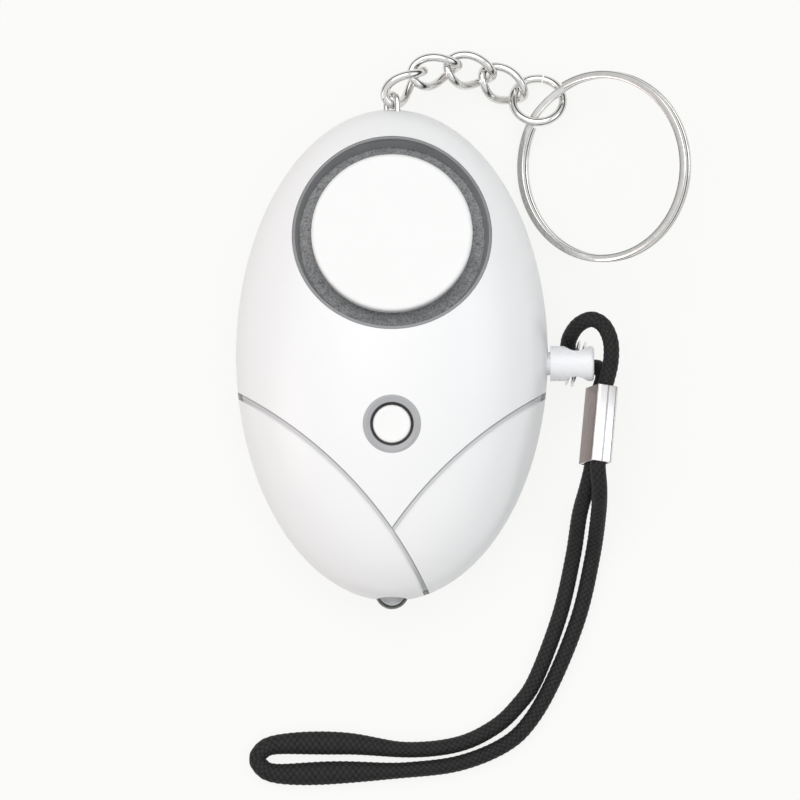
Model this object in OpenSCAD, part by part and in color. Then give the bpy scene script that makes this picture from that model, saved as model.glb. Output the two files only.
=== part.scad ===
// Personal safety alarm: an egg-shaped siren with a pull pin, wrist cord, lamp and key chain.
// It lies on its back. +X is right, +Y is towards the chain, +Z is out of the front.
// Lengths are millimetres and the origin is on the flat rest face.

/* [Body] */
// Width across the egg
body_w = 40; // [36:0.5:44]
// Length from the chain end to the lamp end
body_l = 63; // [58:0.5:69]
// Height of the front dome above the split
front_h = 12.2; // [11.2:0.1:13.4]
// Depth of the rear dome before its flat is cut
rear_h = 8.2; // [8:0.1:9]
// Height of the split above the rest face
split_z = 7.6; // [7:0.1:7.8]
// Wall of both shells
wall = 1.8; // [1.6:0.1:2]
// Width of a panel groove
groove_w = 0.75; // [0.5:0.05:1]
// Depth of a panel groove
groove_depth = 0.5; // [0.3:0.05:0.7]

/* [Siren] */
// Diameter of the grey trough at its rim
siren_d = 25.3; // [23:0.1:26.5]
// Diameter of the white cap
cap_d = 20.6; // [18:0.1:21]
// Lean of the siren towards the chain end
siren_tilt = 13; // [11:0.5:15]
// Depth of the trough under its rim
trough_depth = 2.9; // [2.5:0.1:3.2]
// Diameter of the piezo plate
piezo_d = 19; // [18:0.5:20.5]

/* [Light] */
// Diameter of the light button
button_d = 4.85; // [4.2:0.05:5.2]
// Push of the light button
button_travel = 0.5; // [0.3:0.05:0.6]
// Diameter of the dish round the button
dish_d = 7.45; // [6.8:0.05:8]
// Diameter of the lamp
lamp_d = 4.4; // [4:0.1:5]

/* [Pull pin] */
// Diameter of the head outside the shell
head_d = 4.5; // [4.2:0.1:5]
// Length of the head
head_l = 5.6; // [5.2:0.1:5.8]
// Diameter of the shaft inside the shell
shaft_d = 3; // [2.6:0.1:3.2]
// Diameter of the wrist cord
cord_d = 2; // [1.8:0.05:2.1]
// Length of the ferrule on the cord
ferrule_l = 10; // [9:0.1:10.2]

/* [Chain] */
// Wire of a chain link and of the jump ring
wire_d = 1.1; // [1:0.05:1.15]
// Outer length of a chain link
link_l = 7.5; // [7.4:0.05:7.7]
// Outer width of a chain link
link_w = 5.2; // [5.1:0.05:5.4]
// Outer diameter of the jump ring
jump_d = 7.6; // [7.4:0.1:8]
// Outer diameter of the split ring
ring_d = 24.6; // [24:0.1:25.4]
// Width of the split ring's flat wire
ring_wire_w = 1; // [0.8:0.05:1.1]
// Height of the split ring's flat wire
ring_wire_h = 0.62; // [0.5:0.02:0.7]

/* [Inside] */
// Diameter of a button cell
cell_d = 11.6; // [11:0.1:11.8]
// Height of a button cell
cell_h = 5.4; // [5:0.1:5.5]
// Thickness of the circuit board
board_t = 1.2; // [0.8:0.1:1.6]

/* [Clearances] */
// Gap at a fit that is pushed together by hand
fit_gap = 0.05; // [0.03:0.01:0.08]
// Gap round a part that slides
slide_gap = 0.08; // [0.05:0.01:0.1]
// Gap between the wires of the slack chain
chain_slack = 0.5; // [0.46:0.01:0.56]
// Gap between the turns of the split ring
turn_gap = 0.45; // [0.42:0.01:0.5]

/* [Hidden] */
$fn = 96;

white = [0.93, 0.93, 0.93];
trough_grey = [0.42, 0.42, 0.43];
black = [0.09, 0.09, 0.09];
metal = [0.75, 0.76, 0.78];
brass = [0.78, 0.62, 0.3];
board_green = [0.1, 0.32, 0.2];
clear = [0.85, 0.9, 0.95];

// Egg and its places.
half_w = body_w / 2;
half_l = body_l / 2;
far = 60;
function front_z(x, y) = split_z + front_h * sqrt(1 - pow(x / half_w, 2) - pow(y / half_l, 2));
function rear_z(x, y) = split_z - rear_h * sqrt(1 - pow(x / half_w, 2) - pow(y / half_l, 2));
function unit(v) = v / norm(v);

// Siren frame: its centre is on the rim, and its axis leans towards the chain end.
siren_r = siren_d / 2;
siren_y = 0.248 * body_l;
siren_z = (front_z(0, siren_y - siren_r) + front_z(0, siren_y + siren_r)) / 2;
rim_t = 0.25;
flange_lip = 0.6;
flange_t = 1;
floor_t = 0.8;
collar_t = 1.5;
seat_w = -trough_depth + flange_t - floor_t;
cap_rise = 0.4;
cap_t = 1.4;
cap_round = 0.5;
cap_leg_r = 1.2;
cap_leg_at = 0.31 * cap_d;
sound_r = 4;
piezo_t = 0.2;
piezo_ledge = 0.8;
skirt_t = 1.3;
skirt_w = -trough_depth - floor_t - 1.4;
ceramic_d = 0.74 * piezo_d;

// Light button, switch and circuit board.
button_y = -0.139 * body_l;
button_top = front_z(0, button_y) - 0.15;
dish_depth = 0.7;
dish_r = (pow(dish_d / 2, 2) + pow(dish_depth, 2)) / (2 * dish_depth);
button_lean = atan(pow(front_h / half_l, 2) * -button_y / (front_z(0, button_y) - split_z));
button_ring = 0.33;
guide_t = 1.5;
guide_z = button_top - 6.1;
board_top = split_z - 2.2;
board_rim = 3.2;
tact_w = 3.6;
tact_h = 3.8;
plunger_r = 1.2;
push_gap = 0.1;
plunger_top = guide_z - 1.9;
button_foot = plunger_top + push_gap;
button_flange_t = 0.8;
button_flange_w = 0.8;

// Pull pin, running along X at the split.
pin_y = -0.017 * body_l;
pin_reach = 10.65;
pin_tip = half_w - pin_reach;
head_x = half_w + 0.3;
head_round = 0.4;
hole_x = head_x + 0.59 * head_l;
hole_d = 0.68 * head_d;
contact_t = 0.25;

// Small coiled ring through the hole of the pin, which the cord passes through behind the pin.
coil_wire = 0.32;
coil_r = 2.9;
coil_pitch = 0.76;
coil_lean = 14;
coil_at = [hole_x, pin_y, split_z + 0.57 - coil_r];

// Button cells, lying in a row along Y.
cell_x = -0.215 * body_w;
cell_z = split_z + 1.05;
cell_gap = 0.05;
cell_pitch = cell_h + cell_gap;
cell_start = -2.2 * cell_h;
cell_end = cell_start + 3 * cell_pitch - cell_gap;
plate_t = 0.3;
plate_w = 0.72 * cell_d;
cradle_t = 1;

// Screws that hold the shells, two at each end.
screw_at = [for (side = [-1, 1]) each [
  [side * 0.33 * body_w, 0.175 * body_l],
  [side * 0.2475 * body_w, -0.314 * body_l]
]];
screw_r = 0.95;
screw_head_r = 1.8;
screw_head_t = 1.1;
recess_w = 0.4;
recess_l = 2.6;
recess_depth = 0.5;
screw_seat = split_z - 3;
screw_top = split_z + 4.4;
boss_r = 2.3;
rear_boss_r = 2.9;

// Lamp at the far end, with a rim behind the shells and two bent leads.
lamp_proud = 1.1;
lamp_depth = 3.2;
lamp_rim_t = 0.8;
lamp_rim_w = 0.3;
lead_r = 0.25;
lead_at = 1.27;
lead_l = 2.2;

// Lip of the front shell inside the rear shell.
lip_h = 1;
lip_out = 0.53 * wall;
lip_in = 0.89 * wall;

// Bail at the chain end: a staple of wire, turned so that the first link passes through it.
bail_wire = 0.8;
bail_r = 1.2;
bail_turn = 36;
bail_rise = 2.4;
bail_top = half_l + bail_rise;
bail_bend = bail_top - bail_wire / 2 - bail_r;
bail_foot_w = 3.6;
bail_foot_t = 1;
bail_foot_gap = 0.5;
bail_foot_y = siren_y + (siren_r + flange_lip) * cos(siren_tilt) - (trough_depth + floor_t) * sin(siren_tilt)
  + bail_foot_gap;
nose_w = 6.6;
nose_t = 0.9;

// Chain: each link has a plan heading and a fall, and hangs slackly in the one before.
link_heading = [40.1, 12.1, -12.8, -31.2];
link_fall = [17.2, 15.9, 21.2, 19.4];
link_roll = [59.9, 35.6, 18, 8.4];
link_a = (link_l - wire_d) / 2;
link_b = (link_w - wire_d) / 2;
link_twist = 45;
function heading_dir(h, f) = [cos(f) * cos(h), cos(f) * sin(h), -sin(f)];
link_dir = [for (i = [0:3]) heading_dir(link_heading[i], link_fall[i])];
link_slack = chain_slack * [1.19, 0.93, 0.67, 0.43];
chain_start = [-0.69, bail_bend + 0.37, split_z + 0.46];
function next_centre(c, i) =
  c + link_a * (link_dir[i] + link_dir[i + 1])
  - (wire_d + link_slack[i]) * unit(link_dir[i] + link_dir[i + 1]);
link_1_at = chain_start + link_a * link_dir[0];
link_2_at = next_centre(link_1_at, 0);
link_3_at = next_centre(link_2_at, 1);
link_4_at = next_centre(link_3_at, 2);
link_at = [link_1_at, link_2_at, link_3_at, link_4_at];

// Jump ring and split ring.
jump_r = (jump_d - wire_d) / 2;
jump_tilt = 29.1;
jump_heading = -22.1;
jump_at = link_4_at + (link_a - wire_d - link_slack[3]) * link_dir[3]
  + jump_r * [cos(jump_heading), sin(jump_heading) * cos(jump_tilt), -sin(jump_heading) * sin(jump_tilt)];
ring_r = (ring_d - ring_wire_w) / 2;
ring_tilt = 29;
ring_spot = 137;
ring_cross = jump_at + [0.87, -0.55, 0.4];
ring_out = [cos(ring_spot) * cos(ring_tilt), sin(ring_spot), cos(ring_spot) * sin(ring_tilt)];
ring_at = ring_cross - ring_r * ring_out;
turn_step = ring_wire_h + turn_gap;
ring_first = 154;
ring_last = 838;
ring_ramp = [478, 514];
ring_corner = 0.15;

// Wrist cord: up from the ferrule, behind the pin through its coil, back down and round the wrist loop.
cord_shift = half_w - 20;
cord_lie = cord_d / 2 + 0.05;
cord_points = [
  [26.83, -9, 8.8], [27.12, -5.93, 8.24], [27.3, -4.2, 7.92], [28, -1.2, 8.4], [28.05, 1.6, 8.8],
  [27.2, 3.7, 8.8], [25.7, 4.6, 8.6], [24.2, 4.1, 8], [23.2, 3, 6.8], [22.65, 1.6, 5.3], [22.8, 0.1, 4.2],
  [23.6, -1, 3.8], [24.7, -1.4, 3.8], [25.7, -1.5, 4], [26.55, -1.65, 4.5], [27.12, -2.35, 5.3],
  [26.98, -3.4, 5.83], [26.64, -4.45, 6.03], [26.4, -6.2, 6.36], [26.12, -9.13, 6.89],
  [25.85, -12.07, 7.42], [25.6, -14.4, 7.8], [25, -17, 6.9], [24.1, -20.5, 4.6], [23.3, -26, 1.6],
  [21.6, -33.5, cord_lie], [18.6, -41.5, cord_lie], [16.3, -45, cord_lie], [13.2, -47.9, cord_lie],
  [8.5, -50.1, cord_lie], [2, -50.8, cord_lie], [-6, -50, cord_lie], [-14.5, -50.1, cord_lie],
  [-17, -51.2, cord_lie], [-17, -52.8, cord_lie], [-14.5, -53.9, cord_lie], [-6, -53.7, cord_lie],
  [2, -53.4, cord_lie], [8.8, -52.5, cord_lie], [14.6, -50.1, cord_lie], [18, -46.8, cord_lie],
  [21.1, -41.2, cord_lie], [24.1, -33.5, cord_lie], [25.8, -26, 1.6], [26.5, -20.5, 5.8],
  [26.6, -17.2, 8.7], [26.38, -14.2, 9.68], [26.61, -11.4, 9.22], [26.82, -9.1, 8.82]
];
cord_route = [for (p = cord_points) p + [cord_shift, 0, 0]];
cord_sides = 8;
cord_steps = 2;

// Ferrule: a flat box-shaped sleeve round both strands.
ferrule_top = [26.95 + cord_shift, -4.1, 6.95];
ferrule_dir = unit([-0.95, -10, 1.8]);
ferrule_turn = 20;
sleeve_t = 0.3;
sleeve_w = cord_d + 0.24;
sleeve_h = 2 * cord_d + 0.24;
sleeve_round = 0.15;

// Sweeps a ring of points along a route, as one closed or open tube.
function spline_at(p, i, t) =
  let (
    a = p[max(i - 1, 0)],
    b = p[i],
    c = p[i + 1],
    d = p[min(i + 2, len(p) - 1)]
  )
  0.5 * (2 * b + (c - a) * t + (2 * a - 5 * b + 4 * c - d) * t * t + (3 * b - a - 3 * c + d) * t * t * t);
function spline(p, steps) = concat(
  [for (i = [0:len(p) - 2], k = [0:steps - 1]) spline_at(p, i, k / steps)],
  [p[len(p) - 1]]
);
function tangents(p) = [for (i = [0:len(p) - 1]) unit(p[min(i + 1, len(p) - 1)] - p[max(i - 1, 0)])];
function square_to(v, t) = unit(v - (v * t) * t);
function carried(t, start) = [
  for (i = 0, n = square_to(start, t[0]); i < len(t); i = i + 1, n = i < len(t) ? square_to(n, t[i]) : n) n
];

module tube(rings, closed = false) {
  count = len(rings);
  sides = len(rings[0]);
  last = closed ? count - 1 : count - 2;
  walls = [
    for (i = [0:last], k = [0:sides - 1])
    let (
      j = (i + 1) % count,
      m = (k + 1) % sides,
      a = i * sides + k,
      b = i * sides + m,
      c = j * sides + m,
      d = j * sides + k
    )
    each [[a, b, c], [a, c, d]]
  ];
  ends = closed ? [] : [
    [for (k = [sides - 1:-1:0]) k],
    [for (k = [0:sides - 1]) (count - 1) * sides + k]
  ];
  polyhedron(points = [for (ring = rings) each ring], faces = concat(walls, ends), convexity = 10);
}

// One half of the egg, inset all round by the same amount, in four quarters.
module half_egg(inset, h) {
  for (turn = [0:90:270])
    scale([half_w - inset, half_l - inset, h - inset])
      rotate([0, 0, turn])
        rotate_extrude(angle = 90)
          intersection() {
            circle(r = 1);
            square(2);
          }
}

module front_egg(inset) {
  translate([0, 0, split_z]) half_egg(inset, front_h);
}

module rear_egg(inset) {
  translate([0, 0, split_z]) rotate([180, 0, 0]) half_egg(inset, rear_h);
}

module oval(inset, h) {
  scale([half_w - inset, half_l - inset, 1]) cylinder(r = 1, h = h);
}

module siren_frame() {
  translate([0, siren_y, siren_z]) rotate([-siren_tilt, 0, 0]) children();
}

module at_screws() {
  for (p = screw_at) translate([p[0], p[1], 0]) children();
}

module along_pin(r, from, to) {
  translate([from, pin_y, split_z]) rotate([0, 90, 0]) cylinder(r = r, h = to - from);
}

// Openings that both shells share at the split.
module split_openings() {
  along_pin(shaft_d / 2 + slide_gap, half_w - 2 * wall, half_w + 3);
  translate([0, -half_l - 3, split_z])
    rotate([-90, 0, 0])
      cylinder(r = lamp_d / 2 + fit_gap, h = 3 * wall + 3);
  bail_legs(bail_wire / 2 + fit_gap, bail_foot_y, half_l + wall);
  bail_foot(fit_gap);
}

// Solid nose at the chain end of both shells, which holds the bail.
module nose() {
  translate([-nose_w / 2, bail_foot_y - nose_t, split_z - far / 2]) cube([nose_w, far, far]);
}

// Panel grooves: the left one runs on to the lamp end, and the right one stops where they meet.
groove_r = 52.9;
groove_at = [43.8, -52.3];

module groove_band(side) {
  translate([side * groove_at[0], groove_at[1]])
    difference() {
      circle(r = groove_r + groove_w / 2, $fn = 360);
      circle(r = groove_r - groove_w / 2, $fn = 360);
    }
}

module groove_cut() {
  difference() {
    translate([0, 0, split_z - 2])
      linear_extrude(height = front_h + 4)
        union() {
          intersection() {
            groove_band(-1);
            translate([-half_w - 1, -half_l - 1]) square([1.6 * half_w, half_l + 1]);
          }
          intersection() {
            groove_band(1);
            translate([0, -half_l]) square([half_w + 1, half_l]);
          }
        }
    front_egg(groove_depth);
    translate([0, 0, split_z - 3]) oval(groove_depth, 3 + 0.01);
  }
}

module front_shell() {
  color(white)
    difference() {
      union() {
        difference() {
          front_egg(0);
          front_egg(wall);
        }
        intersection() {
          front_egg(wall / 2);
          union() {
            siren_frame()
              translate([0, 0, seat_w - flange_t])
                cylinder(r = siren_r + collar_t, h = far);
            translate([0, button_y, guide_z])
              cylinder(r = button_d / 2 + button_ring + guide_t, h = far);
          }
        }
        intersection() {
          front_egg(wall / 2);
          union() {
            at_screws() translate([0, 0, split_z]) cylinder(r = boss_r, h = screw_top - split_z + 1);
            nose();
          }
        }
        translate([0, 0, split_z - lip_h])
          difference() {
            oval(lip_out, lip_h + 0.6);
            translate([0, 0, -1]) oval(lip_in, lip_h + 3);
          }
      }
      siren_frame() {
        translate([0, 0, seat_w]) cylinder(r = siren_r + rim_t / 2, h = far);
        translate([0, 0, seat_w - flange_t - 0.3])
          cylinder(r = siren_r + flange_lip + 0.1, h = flange_t + 0.3);
        translate([0, 0, skirt_w - 0.3])
          cylinder(r = piezo_d / 2 + skirt_t + 0.3, h = seat_w - skirt_w);
      }
      translate([0, button_y, front_z(0, button_y)])
        rotate([button_lean, 0, 0])
          translate([0, 0, dish_r - dish_depth])
            sphere(r = dish_r);
      translate([0, button_y, button_top - 2.4]) cylinder(r = button_d / 2 + button_ring, h = far);
      translate([0, button_y, split_z]) cylinder(r = button_d / 2 + slide_gap, h = far);
      at_screws()
        translate([0, 0, split_z - 1])
          cylinder(r = screw_r + fit_gap, h = screw_top - split_z + 1.3);
      groove_cut();
      split_openings();
    }
}

module rear_shell() {
  color(white)
    difference() {
      union() {
        difference() {
          intersection() {
            rear_egg(0);
            translate([-far, -far, 0]) cube([2 * far, 2 * far, far]);
          }
          rear_egg(wall);
        }
        intersection() {
          rear_egg(wall / 2);
          union() {
            at_screws() translate([0, 0, 0.5]) cylinder(r = rear_boss_r, h = split_z - 0.5);
            for (p = board_posts)
              translate([p[0], p[1], 0.5])
                cylinder(r = 1.3, h = board_top - board_t - 0.5);
            for (y = [cell_start - 2 * plate_t - 0.6 - cradle_t, cell_end + plate_t + 0.15])
              translate([cell_x - plate_w / 2, y, 0.5]) cube([plate_w, cradle_t, split_z - 0.5]);
            nose();
          }
        }
      }
      translate([0, 0, split_z - lip_h - 0.1])
        difference() {
          oval(lip_out - 0.1, lip_h + 1);
          translate([0, 0, -1]) oval(lip_in + 0.1, lip_h + 3);
        }
      at_screws() {
        cylinder(r = screw_r + 0.15, h = far);
        translate([0, 0, -1]) cylinder(r = screw_head_r + 0.15, h = screw_seat + 1);
      }
      split_openings();
    }
}

board_posts = [
  [0.24 * body_w, 0.05 * body_l],
  [0.29 * body_w, -0.14 * body_l],
  [0.07 * body_w, -0.36 * body_l],
  [-0.07 * body_w, -0.36 * body_l]
];

module siren_bezel() {
  color(trough_grey)
    difference() {
      intersection() {
        front_egg(0.05);
        siren_frame()
          rotate_extrude()
            polygon([
              [sound_r, -trough_depth],
              [siren_r - 0.85, -trough_depth],
              [siren_r - rim_t, -trough_depth / 2],
              [siren_r - rim_t, 2],
              [siren_r + rim_t / 2 - fit_gap, 2],
              [siren_r + rim_t / 2 - fit_gap, seat_w - fit_gap],
              [siren_r + flange_lip, seat_w - fit_gap],
              [siren_r + flange_lip, -trough_depth - floor_t],
              [piezo_d / 2 + skirt_t, -trough_depth - floor_t],
              [piezo_d / 2 + skirt_t, skirt_w],
              [piezo_d / 2 + fit_gap, skirt_w],
              [piezo_d / 2 + fit_gap, -trough_depth - floor_t - 0.7],
              [piezo_d / 2 - piezo_ledge, -trough_depth - floor_t - 0.7],
              [piezo_d / 2 - piezo_ledge, -trough_depth - floor_t],
              [sound_r, -trough_depth - floor_t]
            ]);
      }
      siren_frame()
        for (turn = [90, 210, 330])
          rotate([0, 0, turn])
            translate([cap_leg_at, 0, -far / 2])
              cylinder(r = cap_leg_r + fit_gap, h = far);
    }
}

module siren_cap() {
  color(white)
    siren_frame() {
      rotate_extrude()
        translate([0, cap_rise - cap_t])
          union() {
            square([cap_d / 2, cap_t - cap_round]);
            square([cap_d / 2 - cap_round, cap_t]);
            intersection() {
              translate([cap_d / 2 - cap_round, cap_t - cap_round]) circle(r = cap_round);
              translate([0, cap_t / 2]) square([cap_d, cap_t]);
            }
          }
      for (turn = [90, 210, 330])
        rotate([0, 0, turn])
          translate([cap_leg_at, 0, -trough_depth - floor_t])
            cylinder(r = cap_leg_r, h = trough_depth + floor_t + cap_rise - cap_t / 2);
    }
}

piezo_w = -trough_depth - floor_t - 0.7 - piezo_t;

module piezo_plate() {
  color(brass) siren_frame() translate([0, 0, piezo_w]) cylinder(r = piezo_d / 2, h = piezo_t);
}

module piezo_ceramic() {
  color(white) siren_frame() translate([0, 0, piezo_w - piezo_t]) cylinder(r = ceramic_d / 2, h = piezo_t);
}

module circuit_board() {
  color(board_green)
    translate([0, 0, board_top - board_t])
      linear_extrude(height = board_t)
        difference() {
          intersection() {
            scale([half_w - wall - board_rim, half_l - wall - 5]) circle(r = 1);
            union() {
              translate([cell_x + cell_d / 2 + 0.3, -half_l]) square([half_w, half_l + cell_end + 1]);
              translate([-half_w, -half_l]) square([body_w, half_l + cell_start - 2.6]);
            }
          }
          for (p = screw_at) translate(p) circle(r = rear_boss_r + 0.3);
        }
}

module tact_switch() {
  color(black)
    translate([0, button_y, board_top])
      difference() {
        translate([-tact_w / 2, -tact_w / 2, 0]) cube([tact_w, tact_w, tact_h]);
        translate([0, 0, tact_h / 2]) cylinder(r = plunger_r + slide_gap, h = tact_h);
      }
}

module tact_plunger() {
  base = board_top + tact_h / 2 + button_travel + 0.2;
  color(white) translate([0, button_y, base]) cylinder(r = plunger_r, h = plunger_top - base);
}

module light_button() {
  color(white)
    translate([0, button_y, 0]) {
      translate([0, 0, button_foot]) cylinder(r = button_d / 2, h = button_top - button_foot);
      translate([0, 0, guide_z - button_flange_t - fit_gap])
        cylinder(r = button_d / 2 + button_flange_w, h = button_flange_t);
    }
}

module boost_coil() {
  color(black)
    translate([0.19 * body_w, -0.2 * body_l, board_top])
      rotate_extrude()
        polygon([[0, 0], [2.4, 0], [2.4, 0.6], [1.7, 0.9], [1.7, 2.5], [2.4, 2.8], [2.4, 3.4], [0, 3.4]]);
}

module driver_chip() {
  color(black)
    translate([0.06 * body_w, -0.26 * body_l, board_top]) {
      translate([-1.95, -2.45, 0.1]) cube([3.9, 4.9, 1.4]);
      for (side = [-1, 1], k = [-1.5:1:1.5])
        translate([side * 2.4 - 0.5, k * 1.27 - 0.2, 0]) cube([1, 0.4, 0.5]);
    }
}

module pin_switch() {
  color(black)
    difference() {
      translate([pin_tip + 1.6, pin_y - 3.2, board_top]) cube([3.8, 6.4, split_z + 2.6 - board_top]);
      along_pin(shaft_d / 2 + slide_gap, pin_tip, half_w);
    }
}

module moving_contact() {
  color(brass)
    translate([pin_tip - 0.1 - contact_t, pin_y - 1.6, board_top])
      cube([contact_t, 3.2, split_z + 1.4 - board_top]);
}

module fixed_contact() {
  color(brass)
    difference() {
      translate([pin_tip + 0.95, pin_y - 2.7, board_top]) cube([contact_t, 5.4, split_z + 2.4 - board_top]);
      along_pin(shaft_d / 2 + 0.3, pin_tip, half_w);
    }
}

module cell(index) {
  color(metal)
    translate([cell_x, cell_start + index * cell_pitch, cell_z])
      rotate([-90, 0, 0])
        rotate_extrude()
          polygon([
            [0, 0],
            [0.4 * cell_d, 0],
            [0.4 * cell_d, 0.25],
            [cell_d / 2, 0.25],
            [cell_d / 2, cell_h],
            [0, cell_h]
          ]);
}

module cell_1() {
  cell(0);
}

module cell_2() {
  cell(1);
}

module cell_3() {
  cell(2);
}

// A battery contact plate with a tab that lies on the circuit board.
module contact(y, bump, side) {
  tab_end = cell_x + cell_d / 2 + 1.6;
  color(brass) {
    translate([cell_x - plate_w / 2, y, cell_z - plate_w / 2]) cube([plate_w, plate_t, plate_w]);
    translate([cell_x, y, board_top]) cube([tab_end - cell_x, plate_t, 1]);
    translate([cell_x, y + plate_t / 2, cell_z])
      rotate([-90 * side, 0, 0])
        cylinder(r1 = 2.4, r2 = 1.2, h = plate_t / 2 + bump);
  }
}

module contact_plus() {
  contact(cell_end + 0.1, 0.1, -1);
}

module contact_minus() {
  contact(cell_start - 0.6 - plate_t, 0.55, 1);
}

module led_lamp() {
  dome_y = -half_l - lamp_proud + lamp_d / 2;
  base_y = -half_l + 2 * wall + lamp_depth;
  lead_y = base_y + lead_l;
  color(clear) {
    translate([0, dome_y, split_z]) sphere(r = lamp_d / 2);
    translate([0, dome_y, split_z]) rotate([-90, 0, 0]) cylinder(r = lamp_d / 2, h = base_y - dome_y);
    translate([0, base_y - lamp_rim_t, split_z])
      rotate([-90, 0, 0])
        cylinder(r = lamp_d / 2 + lamp_rim_w, h = lamp_rim_t);
    for (side = [-1, 1]) {
      translate([side * lead_at, base_y - lamp_rim_t / 2, split_z])
        rotate([-90, 0, 0])
          cylinder(r = lead_r, h = lead_l + lamp_rim_t / 2 + lead_r);
      translate([side * lead_at, lead_y, board_top]) cylinder(r = lead_r, h = split_z - board_top);
    }
  }
}

module rear_screws() {
  color(metal)
    at_screws() {
      translate([0, 0, screw_seat - screw_head_t])
        difference() {
          cylinder(r = screw_head_r, h = screw_head_t);
          for (turn = [0, 90])
            rotate([0, 0, turn])
              translate([-recess_w / 2, -recess_l / 2, -recess_depth])
                cube([recess_w, recess_l, 2 * recess_depth]);
        }
      translate([0, 0, screw_seat - screw_head_t / 3])
        cylinder(r = screw_r, h = screw_top - screw_seat + screw_head_t / 3);
    }
}

module bail_legs(r, from, to) {
  translate([0, from, split_z])
    rotate([0, bail_turn, 0])
      for (side = [-1, 1])
        translate([0, 0, side * bail_r])
          rotate([-90, 0, 0])
            cylinder(r = r, h = to - from, $fn = 48);
}

module bail_foot(grow) {
  translate([0, bail_foot_y, split_z])
    rotate([0, bail_turn, 0])
      translate([-bail_wire - grow, -grow, -bail_foot_w / 2 - grow])
        cube([2 * (bail_wire + grow), bail_foot_t + 2 * grow, bail_foot_w + 2 * grow]);
}

module chain_bail() {
  bend_wire = bail_wire / 2 - 0.01;
  color(metal)
    union() {
      bail_foot(0);
      bail_legs(bail_wire / 2, bail_foot_y + bail_foot_t / 2, bail_bend + 0.05);
      translate([0, bail_bend, split_z])
        rotate([0, bail_turn, 0])
          rotate([0, -90, 0])
            rotate_extrude(angle = 180)
              translate([bail_r, 0])
                circle(r = bend_wire, $fn = 48);
    }
}

// A curb link: an oval of wire whose ends are twisted square to each other, so that it lies flat.
link_rings = 40;
link_sides = 10;
function link_point(t) =
  let (
    u = link_a * cos(t),
    v = link_b * sin(t),
    turn = link_twist * cos(t)
  )
  [u, v * cos(turn), v * sin(turn)];
function link_ring(t) =
  let (
    turn = link_twist * cos(t),
    along = unit(link_point(t + 1) - link_point(t - 1)),
    up = square_to([0, -sin(turn), cos(turn)], along),
    out = cross(along, up)
  )
  [for (k = [0:link_sides - 1])
    let (turned = cos(360 * k / link_sides) * out + sin(360 * k / link_sides) * up)
    link_point(t) + wire_d / 2 * turned];

module chain_link(index) {
  color(metal)
    translate(link_at[index])
      rotate([0, link_fall[index], link_heading[index]])
        rotate([link_roll[index], 0, 0])
          tube([for (i = [0:link_rings - 1]) link_ring(360 * i / link_rings)], closed = true);
}

module chain_link_1() {
  chain_link(0);
}

module chain_link_2() {
  chain_link(1);
}

module chain_link_3() {
  chain_link(2);
}

module chain_link_4() {
  chain_link(3);
}

module jump_ring() {
  color(metal)
    translate(jump_at)
      rotate([-jump_tilt, 0, 0])
        rotate([0, 0, 80])
          rotate_extrude(angle = 356)
            translate([jump_r, 0])
              circle(r = wire_d / 2, $fn = 32);
}

// The split ring is two turns of flat wire, with a step from the lower turn to the upper one.
ring_step = 12;
function ring_height(a) =
  let (s = max(0, min(1, (a - ring_ramp[0]) / (ring_ramp[1] - ring_ramp[0]))))
  turn_step * (s * s * (3 - 2 * s) - 0.5);
ring_section = [
  for (c = [[1, 1], [-1, 1], [-1, -1], [1, -1]], k = [0, 1])
  let (upright = c[0] * c[1] > 0 ? 1 - k : k)
  [c[0] * (ring_wire_w / 2 - (1 - upright) * ring_corner), c[1] * (ring_wire_h / 2 - upright * ring_corner)]
];
function ring_slice(a) = [
  for (q = ring_section) [(ring_r + q[0]) * cos(a), (ring_r + q[0]) * sin(a), ring_height(a) + q[1]]
];
ring_turns_gap = min([
  for (a = [ring_first:ring_step / 2:ring_last - 360])
  ring_height(a + 360) - ring_height(a) - ring_wire_h
]);
echo(split_ring_turn_gap = ring_turns_gap);

module split_ring() {
  color(metal)
    translate(ring_at)
      rotate([0, -ring_tilt, 0])
        tube([for (a = [ring_first:ring_step:ring_last]) ring_slice(a)]);
}

module pull_pin() {
  color(white)
    difference() {
      union() {
        along_pin(shaft_d / 2, pin_tip + 0.6, head_x + 0.5);
        translate([pin_tip, pin_y, split_z])
          rotate([0, 90, 0])
            cylinder(r1 = shaft_d / 2 - 0.5, r2 = shaft_d / 2, h = 0.6);
        translate([head_x, pin_y, split_z])
          rotate([0, 90, 0])
            rotate_extrude()
              union() {
                square([head_d / 2, head_l - head_round]);
                square([head_d / 2 - head_round, head_l]);
                intersection() {
                  translate([head_d / 2 - head_round, head_l - head_round]) circle(r = head_round);
                  translate([0, head_l / 2]) square([head_d, head_l]);
                }
              }
      }
      translate([hole_x, pin_y, split_z])
        rotate([-90, 0, 0])
          cylinder(r = hole_d / 2, h = far, center = true, $fn = 48);
    }
}

// The coiled ring is one wire of nearly two turns, so that two strands lie in the hole.
coil_sides = 8;
coil_turns = [-165, 525];
function coil_point(a) = [coil_pitch * (a - 180) / 360, coil_r * sin(a), coil_r * cos(a)];
function coil_slice(a) =
  let (
    along = unit(coil_point(a + 1) - coil_point(a - 1)),
    out = square_to([0, sin(a), cos(a)], along),
    up = cross(out, along)
  )
  [for (k = [0:coil_sides - 1])
    let (turned = cos(360 * k / coil_sides) * out + sin(360 * k / coil_sides) * up)
    coil_point(a) + coil_wire / 2 * turned];
coil_gap = min([
  for (a = [coil_turns[0]:15:coil_turns[1] - 300], b = [a + 300:5:min(a + 420, coil_turns[1])])
  norm(coil_point(b) - coil_point(a)) - coil_wire
]);
echo(pin_ring_turn_gap = coil_gap);

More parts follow.
